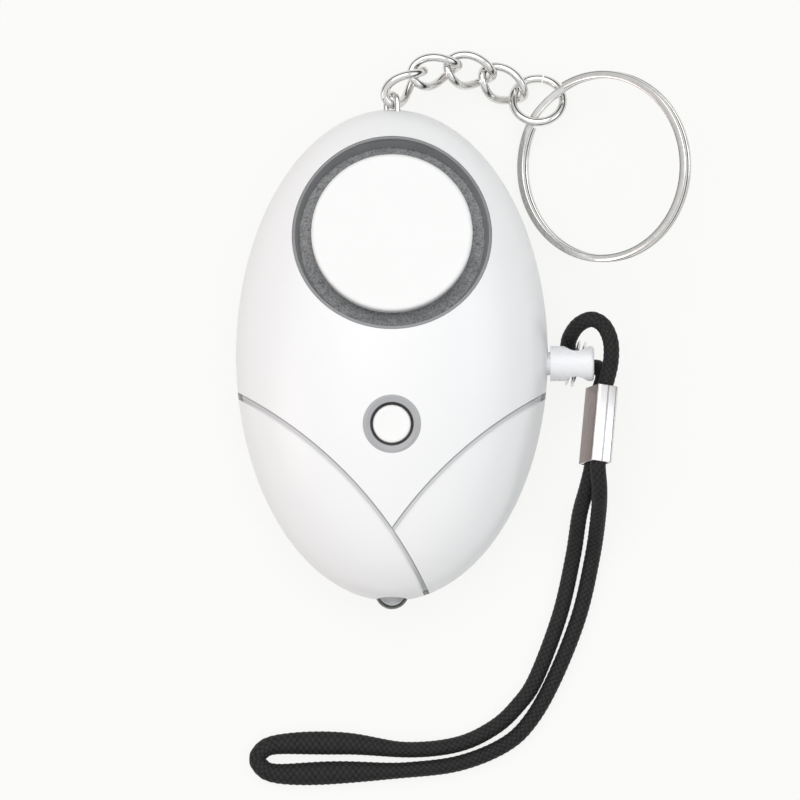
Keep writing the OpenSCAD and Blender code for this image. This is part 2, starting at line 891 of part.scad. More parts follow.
module pin_ring() {
  color(metal)
    translate(coil_at)
      rotate([0, 0, -coil_lean])
        tube([for (a = [coil_turns[0]:15:coil_turns[1]]) coil_slice(a)]);
}

module cord_ferrule() {
  across = square_to([sin(ferrule_turn), 0, cos(ferrule_turn)], ferrule_dir);
  side = cross(ferrule_dir, across);
  frame = [
    [side[0], across[0], ferrule_dir[0], ferrule_top[0]],
    [side[1], across[1], ferrule_dir[1], ferrule_top[1]],
    [side[2], across[2], ferrule_dir[2], ferrule_top[2]],
    [0, 0, 0, 1]
  ];
  color(metal)
    multmatrix(frame)
      linear_extrude(height = ferrule_l)
        difference() {
          sleeve_outline(sleeve_t);
          sleeve_outline(0);
        }
}

module sleeve_outline(grow) {
  r = sleeve_round + grow;
  flat_w = sleeve_w / 2 - sleeve_round;
  flat_h = sleeve_h / 2 - sleeve_round;
  union() {
    translate([-flat_w - r, -flat_h]) square([2 * (flat_w + r), 2 * flat_h]);
    translate([-flat_w, -flat_h - r]) square([2 * flat_w, 2 * (flat_h + r)]);
    for (i = [-1, 1], j = [-1, 1]) translate([i * flat_w, j * flat_h]) circle(r = r, $fn = 32);
  }
}

module wrist_cord() {
  path = spline(cord_route, cord_steps);
  along = tangents(path);
  side = carried(along, [1, 0, 0]);
  color(black)
    tube([
      for (i = [0:len(path) - 1])
      let (up = cross(side[i], along[i]))
      [for (k = [0:cord_sides - 1])
        path[i] + cord_d / 2 * (cos(360 * k / cord_sides) * side[i] + sin(360 * k / cord_sides) * up)]
    ]);
}

echo(link_at = link_at, link_dir = link_dir, jump_at = jump_at, ring_at = ring_at, ring_cross = ring_cross);

front_shell();
rear_shell();
siren_bezel();
siren_cap();
piezo_plate();
piezo_ceramic();
circuit_board();
tact_switch();
tact_plunger();
light_button();
boost_coil();
driver_chip();
pin_switch();
moving_contact();
fixed_contact();
cell_1();
cell_2();
cell_3();
contact_plus();
contact_minus();
led_lamp();
rear_screws();
chain_bail();
chain_link_1();
chain_link_2();
chain_link_3();
chain_link_4();
jump_ring();
split_ring();
pull_pin();
pin_ring();
cord_ferrule();
wrist_cord();
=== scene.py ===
"""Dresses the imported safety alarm: finishes, braided wrist cord, chain, key ring, lamp and studio."""

import logging
import math
from dataclasses import dataclass
from enum import Enum
from typing import Optional, Sequence

import bmesh
import bpy
from mathutils import Matrix, Vector


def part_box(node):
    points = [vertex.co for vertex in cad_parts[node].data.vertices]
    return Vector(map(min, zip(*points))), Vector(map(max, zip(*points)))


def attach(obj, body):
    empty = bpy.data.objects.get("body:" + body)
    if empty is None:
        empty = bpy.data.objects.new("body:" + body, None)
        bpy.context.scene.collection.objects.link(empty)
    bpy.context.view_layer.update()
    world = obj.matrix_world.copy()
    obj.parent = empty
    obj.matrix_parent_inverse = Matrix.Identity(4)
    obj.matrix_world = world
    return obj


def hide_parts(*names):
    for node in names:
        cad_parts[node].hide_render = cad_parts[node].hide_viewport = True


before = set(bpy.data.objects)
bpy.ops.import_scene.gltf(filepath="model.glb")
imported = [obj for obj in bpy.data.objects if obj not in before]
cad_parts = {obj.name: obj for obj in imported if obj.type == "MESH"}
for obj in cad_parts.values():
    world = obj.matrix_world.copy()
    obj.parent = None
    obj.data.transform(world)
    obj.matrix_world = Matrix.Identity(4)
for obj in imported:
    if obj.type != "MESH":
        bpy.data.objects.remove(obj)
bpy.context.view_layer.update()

LOG = logging.getLogger("alarm")
MM = 0.001
Point = tuple[float, float, float]
Color = tuple[float, float, float]
Pair = tuple[float, float]
Socket = bpy.types.NodeSocket
Piece = bpy.types.Object
Material = bpy.types.Material
Inputs = dict[object, object]


class Body(str, Enum):
    """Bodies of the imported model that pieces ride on."""

    CASE = "case"
    BUTTON = "button"
    PIN = "pin"
    LINK_1 = "link_1"
    LINK_2 = "link_2"
    LINK_3 = "link_3"
    LINK_4 = "link_4"
    JUMP = "jump"
    RING = "ring"


class Slot(str, Enum):
    """Material slots of the record."""

    WHITE_PLASTIC = "white_plastic"
    BLACK_PLASTIC = "black_plastic"
    CLEAR_LAMP = "clear_lamp"
    NICKEL = "nickel"
    CORD = "black_cord"


def srgb(r: float, g: float, b: float) -> Color:
    """Turns display values from 0 to 255 into scene-linear ones.

    Args:
        r: Red.
        g: Green.
        b: Blue.

    Returns:
        The linear colour.
    """

    def linear(v: float) -> float:
        v /= 255
        return v / 12.92 if v <= 0.04045 else ((v + 0.055) / 1.055) ** 2.4

    return linear(r), linear(g), linear(b)


@dataclass(frozen=True)
class Egg:
    """The egg that both shells are cut from, in metres."""

    half_w: float = 20 * MM
    half_l: float = 31.5 * MM
    front_h: float = 12.2 * MM
    rear_h: float = 8.2 * MM
    split_z: float = 7.6 * MM


@dataclass(frozen=True)
class SirenFrame:
    """Place, lean and depth of the siren's trough, in metres and radians."""

    centre: Point = (0, 15.624 * MM, 16.366 * MM)
    tilt: float = math.radians(13)
    depth: float = 2.9 * MM


EGG = Egg()
SIREN = SirenFrame()
BUTTON_Y = -8.757 * MM
NOISE_LOW, NOISE_HIGH = 0.3, 0.7
STREAK_SCALE, STREAK_HIGH = 1500, 0.65
GRAIN_SCALE, GRAIN_DEPTH = 5200, 0.02 * MM
PLASTIC_IOR = 1.49
SHARP_ANGLE = math.radians(40)


class NodeTree:
    """Adds nodes to a node tree."""

    def __init__(self, tree: bpy.types.NodeTree) -> None:
        """Takes a tree and empties it.

        Args:
            tree: Tree to fill.
        """
        self.tree = tree
        tree.nodes.clear()

    def feed(self, socket: Socket, value: object) -> None:
        """Links or sets an input.

        Args:
            socket: Input socket.
            value: Output socket to link, or a plain value.
        """
        if isinstance(value, Socket):
            self.tree.links.new(value, socket)
        else:
            socket.default_value = (*value, 1) if socket.type == "RGBA" else value

    def node(self, kind: str, inputs: Optional[Inputs] = None, **settings: object) -> bpy.types.Node:
        """Adds a node.

        Args:
            kind: Blender's node type.
            inputs: Values or sockets by input name or index.
            settings: Properties to set before the inputs.

        Returns:
            The node.
        """
        made = self.tree.nodes.new(kind)
        for key, value in settings.items():
            setattr(made, key, value)
        for key, value in (inputs or {}).items():
            self.feed(made.inputs[key], value)
        return made

    def math(self, operation: str, a: object, b: object = 0.0) -> Socket:
        """Adds a Math node.

        Args:
            operation: Blender's operation name.
            a: First value or socket.
            b: Second value or socket.

        Returns:
            The result socket.
        """
        return self.node("ShaderNodeMath", {0: a, 1: b}, operation=operation).outputs[0]

    def vector(self, operation: str, a: object, b: object) -> bpy.types.Node:
        """Adds a Vector Math node.

        Args:
            operation: Blender's operation name.
            a: First vector or socket.
            b: Second vector or socket.

        Returns:
            The node.
        """
        return self.node("ShaderNodeVectorMath", {0: a, 1: b}, operation=operation)

    def ramp(self, factor: Socket, stops: Sequence[tuple[float, Color]]) -> Socket:
        """Adds a colour ramp.

        Args:
            factor: Input between 0 and 1.
            stops: Positions and linear colours.

        Returns:
            The colour socket.
        """
        made = self.node("ShaderNodeValToRGB", {"Fac": factor})
        elements = made.color_ramp.elements
        while len(elements) < len(stops):
            elements.new(0.5)
        for element, (position, color) in zip(elements, stops):
            element.position = position
            element.color = (*color, 1)
        return made.outputs["Color"]


class Shader(NodeTree):
    """Builds one node material, with a Principled shader at its end."""

    def __init__(self, name: str) -> None:
        """Makes a material with nothing but its shader.

        Args:
            name: Material name.
        """
        self.material = bpy.data.materials.new(name)
        self.material.use_nodes = True
        super().__init__(self.material.node_tree)
        self.bsdf = self.node("ShaderNodeBsdfPrincipled")
        self.out = self.node("ShaderNodeOutputMaterial", {"Surface": self.bsdf.outputs["BSDF"]})
        self.coords = self.node("ShaderNodeTexCoord").outputs["Object"]

    def set(self, **values: object) -> None:
        """Links or sets inputs of the Principled shader.

        Args:
            values: Values or sockets by input name, with underscores for spaces.
        """
        for key, value in values.items():
            self.feed(self.bsdf.inputs[key.replace("_", " ")], value)

    def noise(self, scale: float, detail: float = 3, stretch: Optional[Point] = None) -> Socket:
        """Adds a Noise texture on object coordinates.

        Args:
            scale: Features per metre.
            detail: Octaves.
            stretch: Scale of each axis before the texture.

        Returns:
            The factor socket.
        """
        source = self.coords
        if stretch is not None:
            source = self.vector("MULTIPLY", source, stretch).outputs[0]
        inputs = {"Vector": source, "Scale": scale, "Detail": detail}
        return self.node("ShaderNodeTexNoise", inputs).outputs[0]

    def span(self, value: object, low: float, high: float, to_low: float = 0, to_high: float = 1) -> Socket:
        """Adds a smooth, clamped Map Range node.

        Args:
            value: Input.
            low: Input that gives to_low.
            high: Input that gives to_high.
            to_low: Lowest output.
            to_high: Highest output.

        Returns:
            The result socket.
        """
        inputs = {"Value": value, "From Min": low, "From Max": high, "To Min": to_low, "To Max": to_high}
        return self.node("ShaderNodeMapRange", inputs, interpolation_type="SMOOTHSTEP").outputs["Result"]

    def vary(self, noise: Socket, low: float, high: float) -> Socket:
        """Spreads a noise between two values.

        Args:
            noise: Noise factor.
            low: Value where the noise is low.
            high: Value where it is high.

        Returns:
            The result socket.
        """
        return self.span(noise, NOISE_LOW, NOISE_HIGH, low, high)

    def shade(self, noise: Socket, color: Color, share: float, high: float = NOISE_HIGH) -> Socket:
        """Darkens a colour where a noise is low.

        Args:
            noise: Noise factor.
            color: Full colour.
            share: How much of it is left where the noise is low.
            high: Noise that gives the full colour.

        Returns:
            The colour socket.
        """
        return self.ramp(noise, [(NOISE_LOW, tuple(c * share for c in color)), (high, color)])

    def mix(self, factor: object, a: object, b: object) -> Socket:
        """Mixes two colours.

        Args:
            factor: Share of b.
            a: First colour or socket.
            b: Second colour or socket.

        Returns:
            The colour socket.
        """
        return self.node("ShaderNodeMix", {0: factor, 6: a, 7: b}, data_type="RGBA").outputs[2]

    def bump(self, height: Socket, strength: float, distance: float) -> None:
        """Bumps the surface.

        Args:
            height: Height field.
            strength: Share of the bump.
            distance: Height in metres.
        """
        made = self.node("ShaderNodeBump", {"Height": height, "Strength": strength, "Distance": distance})
        self.set(Normal=made.outputs["Normal"])


@dataclass(frozen=True)
class PlasticFinish:
    """Moulded plastic with a fine grain and a little uneven gloss."""

    name: str
    color: Color
    roughness: float = 0.3
    grain: float = 0.02
    mottle: float = 0.004
    mottle_scale: float = 260
    gloss_scale: float = 900

    def material(self) -> Material:
        """Builds the material.

        Returns:
            The material.
        """
        s = Shader(self.name)
        s.set(
            Base_Color=s.shade(s.noise(self.mottle_scale, 4), self.color, 1 - 2 * self.mottle),
            Roughness=s.vary(s.noise(self.gloss_scale), self.roughness * 0.85, self.roughness * 1.15),
            IOR=PLASTIC_IOR,
        )
        s.bump(s.noise(GRAIN_SCALE, 2), self.grain, GRAIN_DEPTH)
        return s.material


@dataclass(frozen=True)
class ShellFinish:
    """White shell with painted shade: a painted shadow line and painted shade in the grooves, painted shade in the
    dish round the button, in the button's bore and on everything sunk under the skin, and a fine dark seam at the
    split.
    """

    name: str = "shell_white"
    color: Color = srgb(247, 247, 247)
    # painted shade: the grey that everything sunk under the egg's skin takes on
    recess_shade: Color = srgb(168, 169, 171)
    # painted shade: the grey of the dish round the button, from its top to its foot
    dish_shade_top: Color = srgb(178, 179, 182)
    dish_shade_foot: Color = srgb(172, 172, 174)
    # painted shade: the dark ring in the narrow gap round the button
    bore: Color = srgb(84, 84, 86)
    # painted shade in the grooves, with a painted shadow line along their outer arcs
    groove_shade: Color = srgb(216, 216, 217)
    groove_shadow_line: Color = srgb(152, 153, 155)
    seam: Color = srgb(120, 121, 124)
    roughness: float = 0.3
    seam_half: float = 0.11 * MM
    seam_share: float = 0.7
    grain: float = 0.015
    mottle: float = 0.003
    mottle_scale: float = 240
    gloss_scale: float = 700
    recess_shade_share: float = 0.5
    tip_shade_share: float = 0.6
    soft: float = 0.02 * MM
    skin: Pair = (0.93, 0.95)
    inside: Pair = (0.9, 0.88)
    dish_r: float = 3.72 * MM
    bore_r: float = 2.77 * MM
    groove_at: Pair = (43.8 * MM, -52.3 * MM)
    groove_r: float = 52.9 * MM
    groove_half: float = 0.375 * MM
    groove_inner: Pair = (-0.22 * MM, -0.16 * MM)
    groove_line: Pair = (0.18 * MM, 0.3 * MM)
    groove_reach: tuple[Pair, ...] = ((11.2 * MM, 11.1 * MM), (-0.05 * MM, 0.05 * MM))
    groove_tip: Pair = (-25 * MM, -31 * MM)

    @staticmethod
    def _distance(s: Shader, x: object, y: object, place: Pair) -> Socket:
        """Measures how far a point lies from a vertical axis.

        Args:
            s: Shader under construction.
            x: Point's x.
            y: Point's y.
            place: Axis in plan.

        Returns:
            The distance socket.
        """
        flat = s.node("ShaderNodeCombineXYZ", {0: x, 1: y}).outputs[0]
        return s.vector("DISTANCE", flat, (*place, 0.0)).outputs["Value"]

    def _groove(self, s: Shader, x: object, y: object) -> tuple[Socket, Socket]:
        """Paints shade into the grooves: a painted shadow line along their outer arcs, and painted shade that
        deepens towards the lamp end.

        Args:
            s: Shader under construction.
            x: Point's x.
            y: Point's y.

        Returns:
            The colour socket, and a mask that is 1 on the grooves.
        """
        lines, bands = [], []
        for side, reach in zip((-1, 1), self.groove_reach):
            place = (side * self.groove_at[0], self.groove_at[1])
            off = s.math("SUBTRACT", self._distance(s, x, y, place), self.groove_r)
            outer = s.span(off, self.groove_half + self.soft, self.groove_half - self.soft)
            across = s.math("MULTIPLY", s.span(off, *self.groove_inner), outer)
            bands.append(s.math("MULTIPLY", across, s.span(x, *reach)))
            # painted shadow: a dark line along each groove's outer arc
            lines.append(s.math("MULTIPLY", s.span(off, *self.groove_line), bands[-1]))
        line = s.math("MAXIMUM", lines[0], lines[1])
        # painted shade: the grooves darken towards the lamp end
        end = s.span(y, *self.groove_tip, 0, self.tip_shade_share)
        color = s.mix(s.math("MAXIMUM", line, end), self.groove_shade, self.groove_shadow_line)
        return color, s.math("MAXIMUM", bands[0], bands[1])

    def material(self) -> Material:
        """Builds the material from how deep a point lies under the egg's skin.

        Returns:
            The material.
        """
        s = Shader(self.name)
        x, y, z = s.node("ShaderNodeSeparateXYZ", {0: s.coords}).outputs
        above = s.math("SUBTRACT", z, EGG.split_z)
        front = s.math("GREATER_THAN", above, 0.0)
        height = s.math("ADD", EGG.rear_h, s.math("MULTIPLY", front, EGG.front_h - EGG.rear_h))
        squares = [
            s.math("POWER", s.math("DIVIDE", v, size), 2.0)
            for v, size in ((x, EGG.half_w), (y, EGG.half_l), (above, height))
        ]
        radius = s.math("SQRT", s.math("ADD", s.math("ADD", squares[0], squares[1]), squares[2]))
        on_skin = s.math("MULTIPLY", front, s.span(radius, *self.skin))
        white = s.shade(s.noise(self.mottle_scale, 4), self.color, 1 - 2 * self.mottle)
        groove, on_groove = self._groove(s, x, y)
        grooved = s.mix(s.math("MULTIPLY", on_groove, on_skin), white, groove)
        away = self._distance(s, x, y, (0.0, BUTTON_Y))
        # painted shade: the dish round the button is painted grey, graded from its top to its foot
        fall = s.span(y, BUTTON_Y + self.dish_r, BUTTON_Y - self.dish_r)
        dish = s.ramp(fall, [(0.0, self.dish_shade_top), (1.0, self.dish_shade_foot)])
        # painted shade: the narrow gap round the button is painted dark, the dish grey outside it
        bore_shaded = s.mix(s.span(away, self.bore_r, self.bore_r + 2 * self.soft), self.bore, dish)
        in_dish = s.math("MULTIPLY", s.span(away, self.dish_r + self.soft, self.dish_r - self.soft), front)
        cut = s.mix(in_dish, grooved, bore_shaded)
        # painted shade: points sunk under the egg's skin are painted grey
        recess_shaded = s.mix(s.span(radius, *self.inside, 0, self.recess_shade_share), cut, self.recess_shade)
        near = s.span(s.math("ABSOLUTE", above), self.seam_half, 0.35 * self.seam_half)
        s.set(
            Base_Color=s.mix(s.math("MULTIPLY", near, self.seam_share), recess_shaded, self.seam),
            Roughness=s.vary(s.noise(self.gloss_scale), self.roughness * 0.95, self.roughness * 1.05),
            IOR=PLASTIC_IOR,
        )
        s.bump(s.noise(GRAIN_SCALE, 2), self.grain, GRAIN_DEPTH)
        return s.material


@dataclass(frozen=True)
class TroughFinish:
    """Grey trough: a smooth dark wall over a grainy, lighter floor."""

    name: str = "trough_grey"
    wall: Color = srgb(150, 151, 153)
    floor_dark: Color = srgb(112, 113, 115)
    floor_light: Color = srgb(176, 177, 178)
    grain_scale: float = 3600
    coarse_scale: float = 900
    wall_scale: float = 400

    def material(self) -> Material:
        """Builds the material from the depth along the siren's axis.

        Returns:
            The material.
        """
        s = Shader(self.name)
        axis = (0.0, math.sin(SIREN.tilt), math.cos(SIREN.tilt))
        offset = s.vector("SUBTRACT", s.coords, SIREN.centre).outputs[0]
        depth = s.vector("DOT_PRODUCT", offset, axis).outputs["Value"]
        on_floor = s.span(depth, -0.80 * SIREN.depth, -0.97 * SIREN.depth)
        grain, coarse = s.noise(self.grain_scale, 5), s.noise(self.coarse_scale)
        speckle = s.math("ADD", s.math("MULTIPLY", grain, 0.75), s.math("MULTIPLY", coarse, 0.25))
        rough_floor = s.ramp(speckle, [(0.32, self.floor_dark), (0.68, self.floor_light)])
        wall = s.shade(s.noise(self.wall_scale), self.wall, 0.93)
        s.set(Base_Color=s.mix(on_floor, wall, rough_floor), Roughness=s.span(on_floor, 0, 1, 0.5, 0.85))
        s.bump(s.math("MULTIPLY", grain, on_floor), 0.35, 0.08 * MM)
        return s.material


@dataclass(frozen=True)
class MetalFinish:
    """Plated or drawn metal with fine streaks."""

    name: str
    color: Color
    roughness: float = 0.14
    streak: Point = (1.0, 1.0, 1.0)
    scratch: float = 0.04
    gloss_scale: float = 800

    def material(self) -> Material:
        """Builds the material.

        Returns:
            The material.
        """
        s = Shader(self.name)
        streaks = s.noise(STREAK_SCALE, 4, self.streak)
        gloss = s.noise(self.gloss_scale, 3, self.streak)
        s.set(
            Base_Color=s.shade(streaks, self.color, 0.9, STREAK_HIGH),
            Roughness=s.vary(gloss, self.roughness * 0.7, self.roughness * 1.3),
            Metallic=1.0,
        )
        s.bump(streaks, self.scratch, GRAIN_DEPTH)
        return s.material


@dataclass(frozen=True)
class FerruleFinish:
    """Bright sleeve with painted shade on its narrow sides, in a brownish grey, and painted shade in the crease
    along its middle.
    """

    name: str = "ferrule_metal"
    color: Color = srgb(246, 242, 241)
    # painted shade: the brownish grey of the narrow side faces
    side_shade: Color = srgb(140, 126, 123)
    # painted shade: the grey in the crease, which is also cut into the sleeve's mesh
    crease: Color = srgb(150, 144, 144)
    roughness: float = 0.3
    side: Point = (-0.934, 0.146, 0.32)
    place: Point = (26.95 * MM, -4.1 * MM, 6.95 * MM)
    edge: float = 1.3 * MM
    crease_half: float = 0.09 * MM
    blur: float = 0.08 * MM
    streak: Point = (2.2, 0.05, 2.2)

    def material(self) -> Material:
        """Builds the material from how far a point lies from the sleeve's middle plane.

        Returns:
            The material.
        """
        s = Shader(self.name)
        streaks = s.noise(STREAK_SCALE, 4, self.streak)
        bright = s.shade(streaks, self.color, 0.95, STREAK_HIGH)
        offset = s.vector("SUBTRACT", s.coords, self.place).outputs[0]
        away = s.math("ABSOLUTE", s.vector("DOT_PRODUCT", offset, self.side).outputs["Value"])
        # painted shade along the crease line; the crease itself is real geometry
        crease_shaded = s.mix(s.span(away, self.crease_half, 0.6 * self.crease_half, 0, 0.8), bright, self.crease)
        s.set(
            # painted shade: the narrow side faces, beyond the edge distance from the middle plane, are painted
            # brownish grey
            Base_Color=s.mix(s.span(away, self.edge, self.edge + self.blur), crease_shaded, self.side_shade),
            Roughness=s.vary(streaks, self.roughness * 0.8, self.roughness * 1.2),
            Metallic=1.0,
        )
        s.bump(streaks, 0.1, GRAIN_DEPTH)
        return s.material


@dataclass(frozen=True)
class CordFinish:
    """Black nylon braid: yarn lines, and a colour that is lighter on the yarns' crowns and darker between them, from
    the braid's own attributes.
    """

    name: str = "cord_braid"
    deep: Color = srgb(2, 2, 2)
    top: Color = srgb(46, 44, 44)
    yarns: int = 5
    fuzz_scale: float = 7000

    def material(self) -> Material:
        """Builds the material.

        Returns:
            The material.
        """
        s = Shader(self.name)
        height = s.node("ShaderNodeAttribute", attribute_name="braid_height").outputs["Fac"]
        yarn = s.node("ShaderNodeAttribute", attribute_name="braid_yarn").outputs["Fac"]
        lines = s.math("SINE", s.math("MULTIPLY", yarn, 2 * math.pi * self.yarns))
        fuzz = s.noise(self.fuzz_scale)
        # lighter on the yarns' crowns and darker between them, with a little noise mixed in
        crown_tone = s.math("ADD", s.math("MULTIPLY", height, 0.72), s.math("MULTIPLY", fuzz, 0.28))
        s.bump(s.math("ADD", s.math("MULTIPLY", lines, 0.35), fuzz), 0.4, 0.04 * MM)
        s.set(
            Base_Color=s.ramp(crown_tone, [(0.3, self.deep), (0.9, self.top)]), Roughness=s.vary(fuzz, 0.55, 0.75),
            Sheen_Weight=0.06, Sheen_Roughness=0.4, Specular_IOR_Level=0.3,
        )
        return s.material


@dataclass(frozen=True)
class LampFinish:
    """Clear cast resin with a faint haze."""

    name: str = "lamp_clear"
    tint: Color = (0.97, 0.985, 1.0)
    haze_scale: float = 500
    gloss_scale: float = 1200
    ior: float = 1.53

    def material(self) -> Material:
        """Builds the material.

        Returns:
            The material.
        """
        s = Shader(self.name)
        s.set(
            Base_Color=s.shade(s.noise(self.haze_scale), self.tint, 0.97),
            Roughness=s.vary(s.noise(self.gloss_scale), 0.02, 0.06),
            Transmission_Weight=1.0, IOR=self.ior,
        )
        return s.material


@dataclass(frozen=True)
class BoardFinish:
    """Green solder mask with paler tracks under it."""

    name: str = "board_green"
    mask: Color = srgb(24, 92, 58)
    track: Color = srgb(48, 128, 80)
    track_scale: float = 260
    track_w: float = 0.06
    gloss_scale: float = 900

    def material(self) -> Material:
        """Builds the material from a brick-like track pattern.

        Returns:
            The material.
        """
        s = Shader(self.name)
        bricks = s.node("ShaderNodeTexBrick", {
            "Vector": s.coords, "Scale": self.track_scale,
            "Mortar Size": self.track_w, "Mortar": self.track,
            "Color1": self.mask, "Color2": tuple(c * 0.92 for c in self.mask),
        })
        s.set(Base_Color=bricks.outputs["Color"], Roughness=s.vary(s.noise(self.gloss_scale), 0.3, 0.45))
        s.bump(bricks.outputs["Fac"], 0.2, 0.03 * MM)
        return s.material


class Finishes:
    """Every material of the scene, built once."""

    def __init__(self) -> None:
        """Builds all materials."""
        self.shell = ShellFinish().material()
        self.trough = TroughFinish().material()
        self.cap = PlasticFinish("cap_white", srgb(245, 245, 244), 0.4).material()
        self.button = PlasticFinish("button_white", srgb(246, 246, 245), 0.4).material()
        self.pin = PlasticFinish("pin_white", srgb(240, 241, 243), 0.28).material()
        self.black = PlasticFinish("black_plastic", srgb(28, 28, 29), 0.5, 0.2, 0.1).material()
        self.ceramic = PlasticFinish("ceramic_disc", srgb(226, 221, 208), 0.6, 0.1, 0.05).material()
        self.lamp = LampFinish().material()
        self.reflector = PlasticFinish("lamp_reflector", srgb(252, 252, 252), 0.5).material()
        self.die = PlasticFinish("lamp_die", srgb(250, 236, 150), 0.4, 0.1, 0.05).material()
        self.nickel = MetalFinish("nickel", srgb(226, 225, 223), 0.1).material()
        self.ferrule = FerruleFinish().material()
        self.brass = MetalFinish("brass_sheet", srgb(214, 182, 112), 0.25, (0.1, 2, 1)).material()
        self.steel = MetalFinish("cell_steel", srgb(206, 207, 209), 0.22, (1, 0.1, 1)).material()
        self.screw = MetalFinish("screw_steel", srgb(190, 191, 194), 0.26).material()
        self.board = BoardFinish().material()
        self.cord = CordFinish().material()


def add_object(name: str, data: bpy.types.ID) -> Piece:
    """Puts data into the scene.

    Args:
        name: Object name.
        data: Mesh, curve, camera or light.

    Returns:
        The object.
    """
    made = bpy.data.objects.new(name, data)
    bpy.context.scene.collection.objects.link(made)
    return made


class GeometryTree(NodeTree):
    """Builds one Geometry Nodes tree with named inputs."""

    def __init__(self, name: str) -> None:
        """Makes the tree with a geometry input and output.

        Args:
            name: Tree name.
        """
        super().__init__(bpy.data.node_groups.new(name, "GeometryNodeTree"))
        self.identifiers: dict[str, str] = {}
        for way in ("INPUT", "OUTPUT"):
            self.tree.interface.new_socket("Geometry", in_out=way, socket_type="NodeSocketGeometry")
        self.source = self.node("NodeGroupInput")
        self.sink = self.node("NodeGroupOutput")

    def input(self, name: str, kind: str = "NodeSocketFloat") -> Socket:
        """Adds a named input.

        Args:
            name: Input name.
            kind: Socket type.

        Returns:
            The input's socket inside the tree.
        """
        socket = self.tree.interface.new_socket(name, in_out="INPUT", socket_type=kind)
        self.identifiers[name] = socket.identifier
        return self.source.outputs[name]

    def store(self, geometry: Socket, name: str, value: Socket, kind: str = "FLOAT") -> Socket:
        """Keeps a field on the points.

        Args:
            geometry: Geometry that gets it.
            name: Attribute name.
            value: Field.
            kind: Data type.

        Returns:
            The geometry with the attribute.
        """
        inputs = {"Geometry": geometry, "Name": name, "Value": value}
        return self.node("GeometryNodeStoreNamedAttribute", inputs, data_type=kind, domain="POINT").outputs[0]

    def named(self, name: str, kind: str = "FLOAT") -> Socket:
        """Reads an attribute.

        Args:
            name: Attribute name.
            kind: Data type.

        Returns:
            The field.
        """
        return self.node("GeometryNodeInputNamedAttribute", {"Name": name}, data_type=kind).outputs[0]

    def move(self, geometry: Socket, way: Socket, share: Socket) -> Socket:
        """Moves points along a vector field.

        Args:
            geometry: Geometry to move.
            way: Vector field.
            share: How much of it.

        Returns:
            The moved geometry.
        """
        offset = self.node("ShaderNodeVectorMath", {0: way, "Scale": share}, operation="SCALE").outputs[0]
        return self.node("GeometryNodeSetPosition", {"Geometry": geometry, "Offset": offset}).outputs[0]

    def close(self, geometry: Socket, material: Socket) -> None:
        """Ends the tree: real geometry, smooth shading and the material.

        Args:
            geometry: Finished geometry.
            material: Material socket.
        """
        real = self.node("GeometryNodeRealizeInstances", {"Geometry": geometry}).outputs[0]
        smooth = self.node("GeometryNodeSetShadeSmooth", {"Geometry": real}).outputs[0]
        last = self.node("GeometryNodeSetMaterial", {"Geometry": smooth, "Material": material}).outputs[0]
        self.feed(self.sink.inputs["Geometry"], last)

    def run(self, name: str, source: bpy.types.ID, values: dict[str, object]) -> Piece:
        """Runs the tree on some data and keeps the result as a plain mesh.

        Args:
            name: Name of the new object.
            source: Mesh or curve data that goes in.
            values: Inputs by name.

        Returns:
            The mesh object, with no modifier left.
        """
        carrier = add_object(name + "_carrier", source)
        modifier = carrier.modifiers.new("build", "NODES")
        modifier.node_group = self.tree
        for key, value in values.items():
            modifier[self.identifiers[key]] = value
        graph = bpy.context.evaluated_depsgraph_get()
        graph.update()
        mesh = bpy.data.meshes.new_from_object(carrier.evaluated_get(graph))
        mesh.name = name
        made = add_object(name, mesh)
        bpy.data.objects.remove(carrier)
        LOG.info("%s: %d faces", name, len(mesh.polygons))
        return made


def polyline(name: str, points: Sequence[Vector]) -> bpy.types.Curve:
    """Makes curve data that follows some points.

    Args:
        name: Data name.
        points: Places in metres.

    Returns:
        The curve data.
    """
    data = bpy.data.curves.new(name, "CURVE")
    data.dimensions = "3D"
    line = data.splines.new("POLY")
    line.points.add(len(points) - 1)
    for target, place in zip(line.points, points):
        target.co = (*place, 1)
    return data


def revolve(name: str, profile: Sequence[Pair], place: Matrix, sides: int = 96) -> Piece:
    """Turns a profile about Z into a closed mesh.

    Args:
        name: Object name.
        profile: Radius and height pairs from the axis round to the axis.
        place: Where the turned mesh goes.
        sides: Steps round the axis.

    Returns:
        The object.
    """
    shape = bmesh.new()
    rings = []
    for radius, height in profile:
        if radius <= 0:
            rings.append([shape.verts.new((0, 0, height))] * sides)
            continue
        turns = [2 * math.pi * k / sides for k in range(sides)]
        rings.append([shape.verts.new((radius * math.cos(t), radius * math.sin(t), height)) for t in turns])
    for low, high in zip(rings, rings[1:]):
        for k in range(sides):
            corners = [low[k], low[(k + 1) % sides], high[(k + 1) % sides], high[k]]
            unique = list(dict.fromkeys(corners))
            if len(unique) > 2:
                shape.faces.new(unique)
    return finish_mesh(name, shape, place)


def finish_mesh(name: str, shape: bmesh.types.BMesh, place: Matrix) -> Piece:
    """Turns a bmesh into an object with outward normals and smooth faces.

    Args:
        name: Object name.
        shape: Mesh under construction; it is freed.
        place: Transform that goes into the mesh.

    Returns:
        The object.
    """
    bmesh.ops.transform(shape, matrix=place, verts=shape.verts)
    bmesh.ops.recalc_face_normals(shape, faces=shape.faces)
    for face in shape.faces:
        face.smooth = True
    mesh = bpy.data.meshes.new(name)
    shape.to_mesh(mesh)
    shape.free()
    mesh.set_sharp_from_angle(angle=SHARP_ANGLE)
    return add_object(name, mesh)


def dress(piece: Piece, material: Material, body: Body) -> None:
    """Gives a piece its material and body.

    Args:
        piece: New object.
        material: Its material.
        body: Body that it rides on.
    """
    if not piece.data.materials:
        piece.data.materials.append(material)
    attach(piece, body.value)


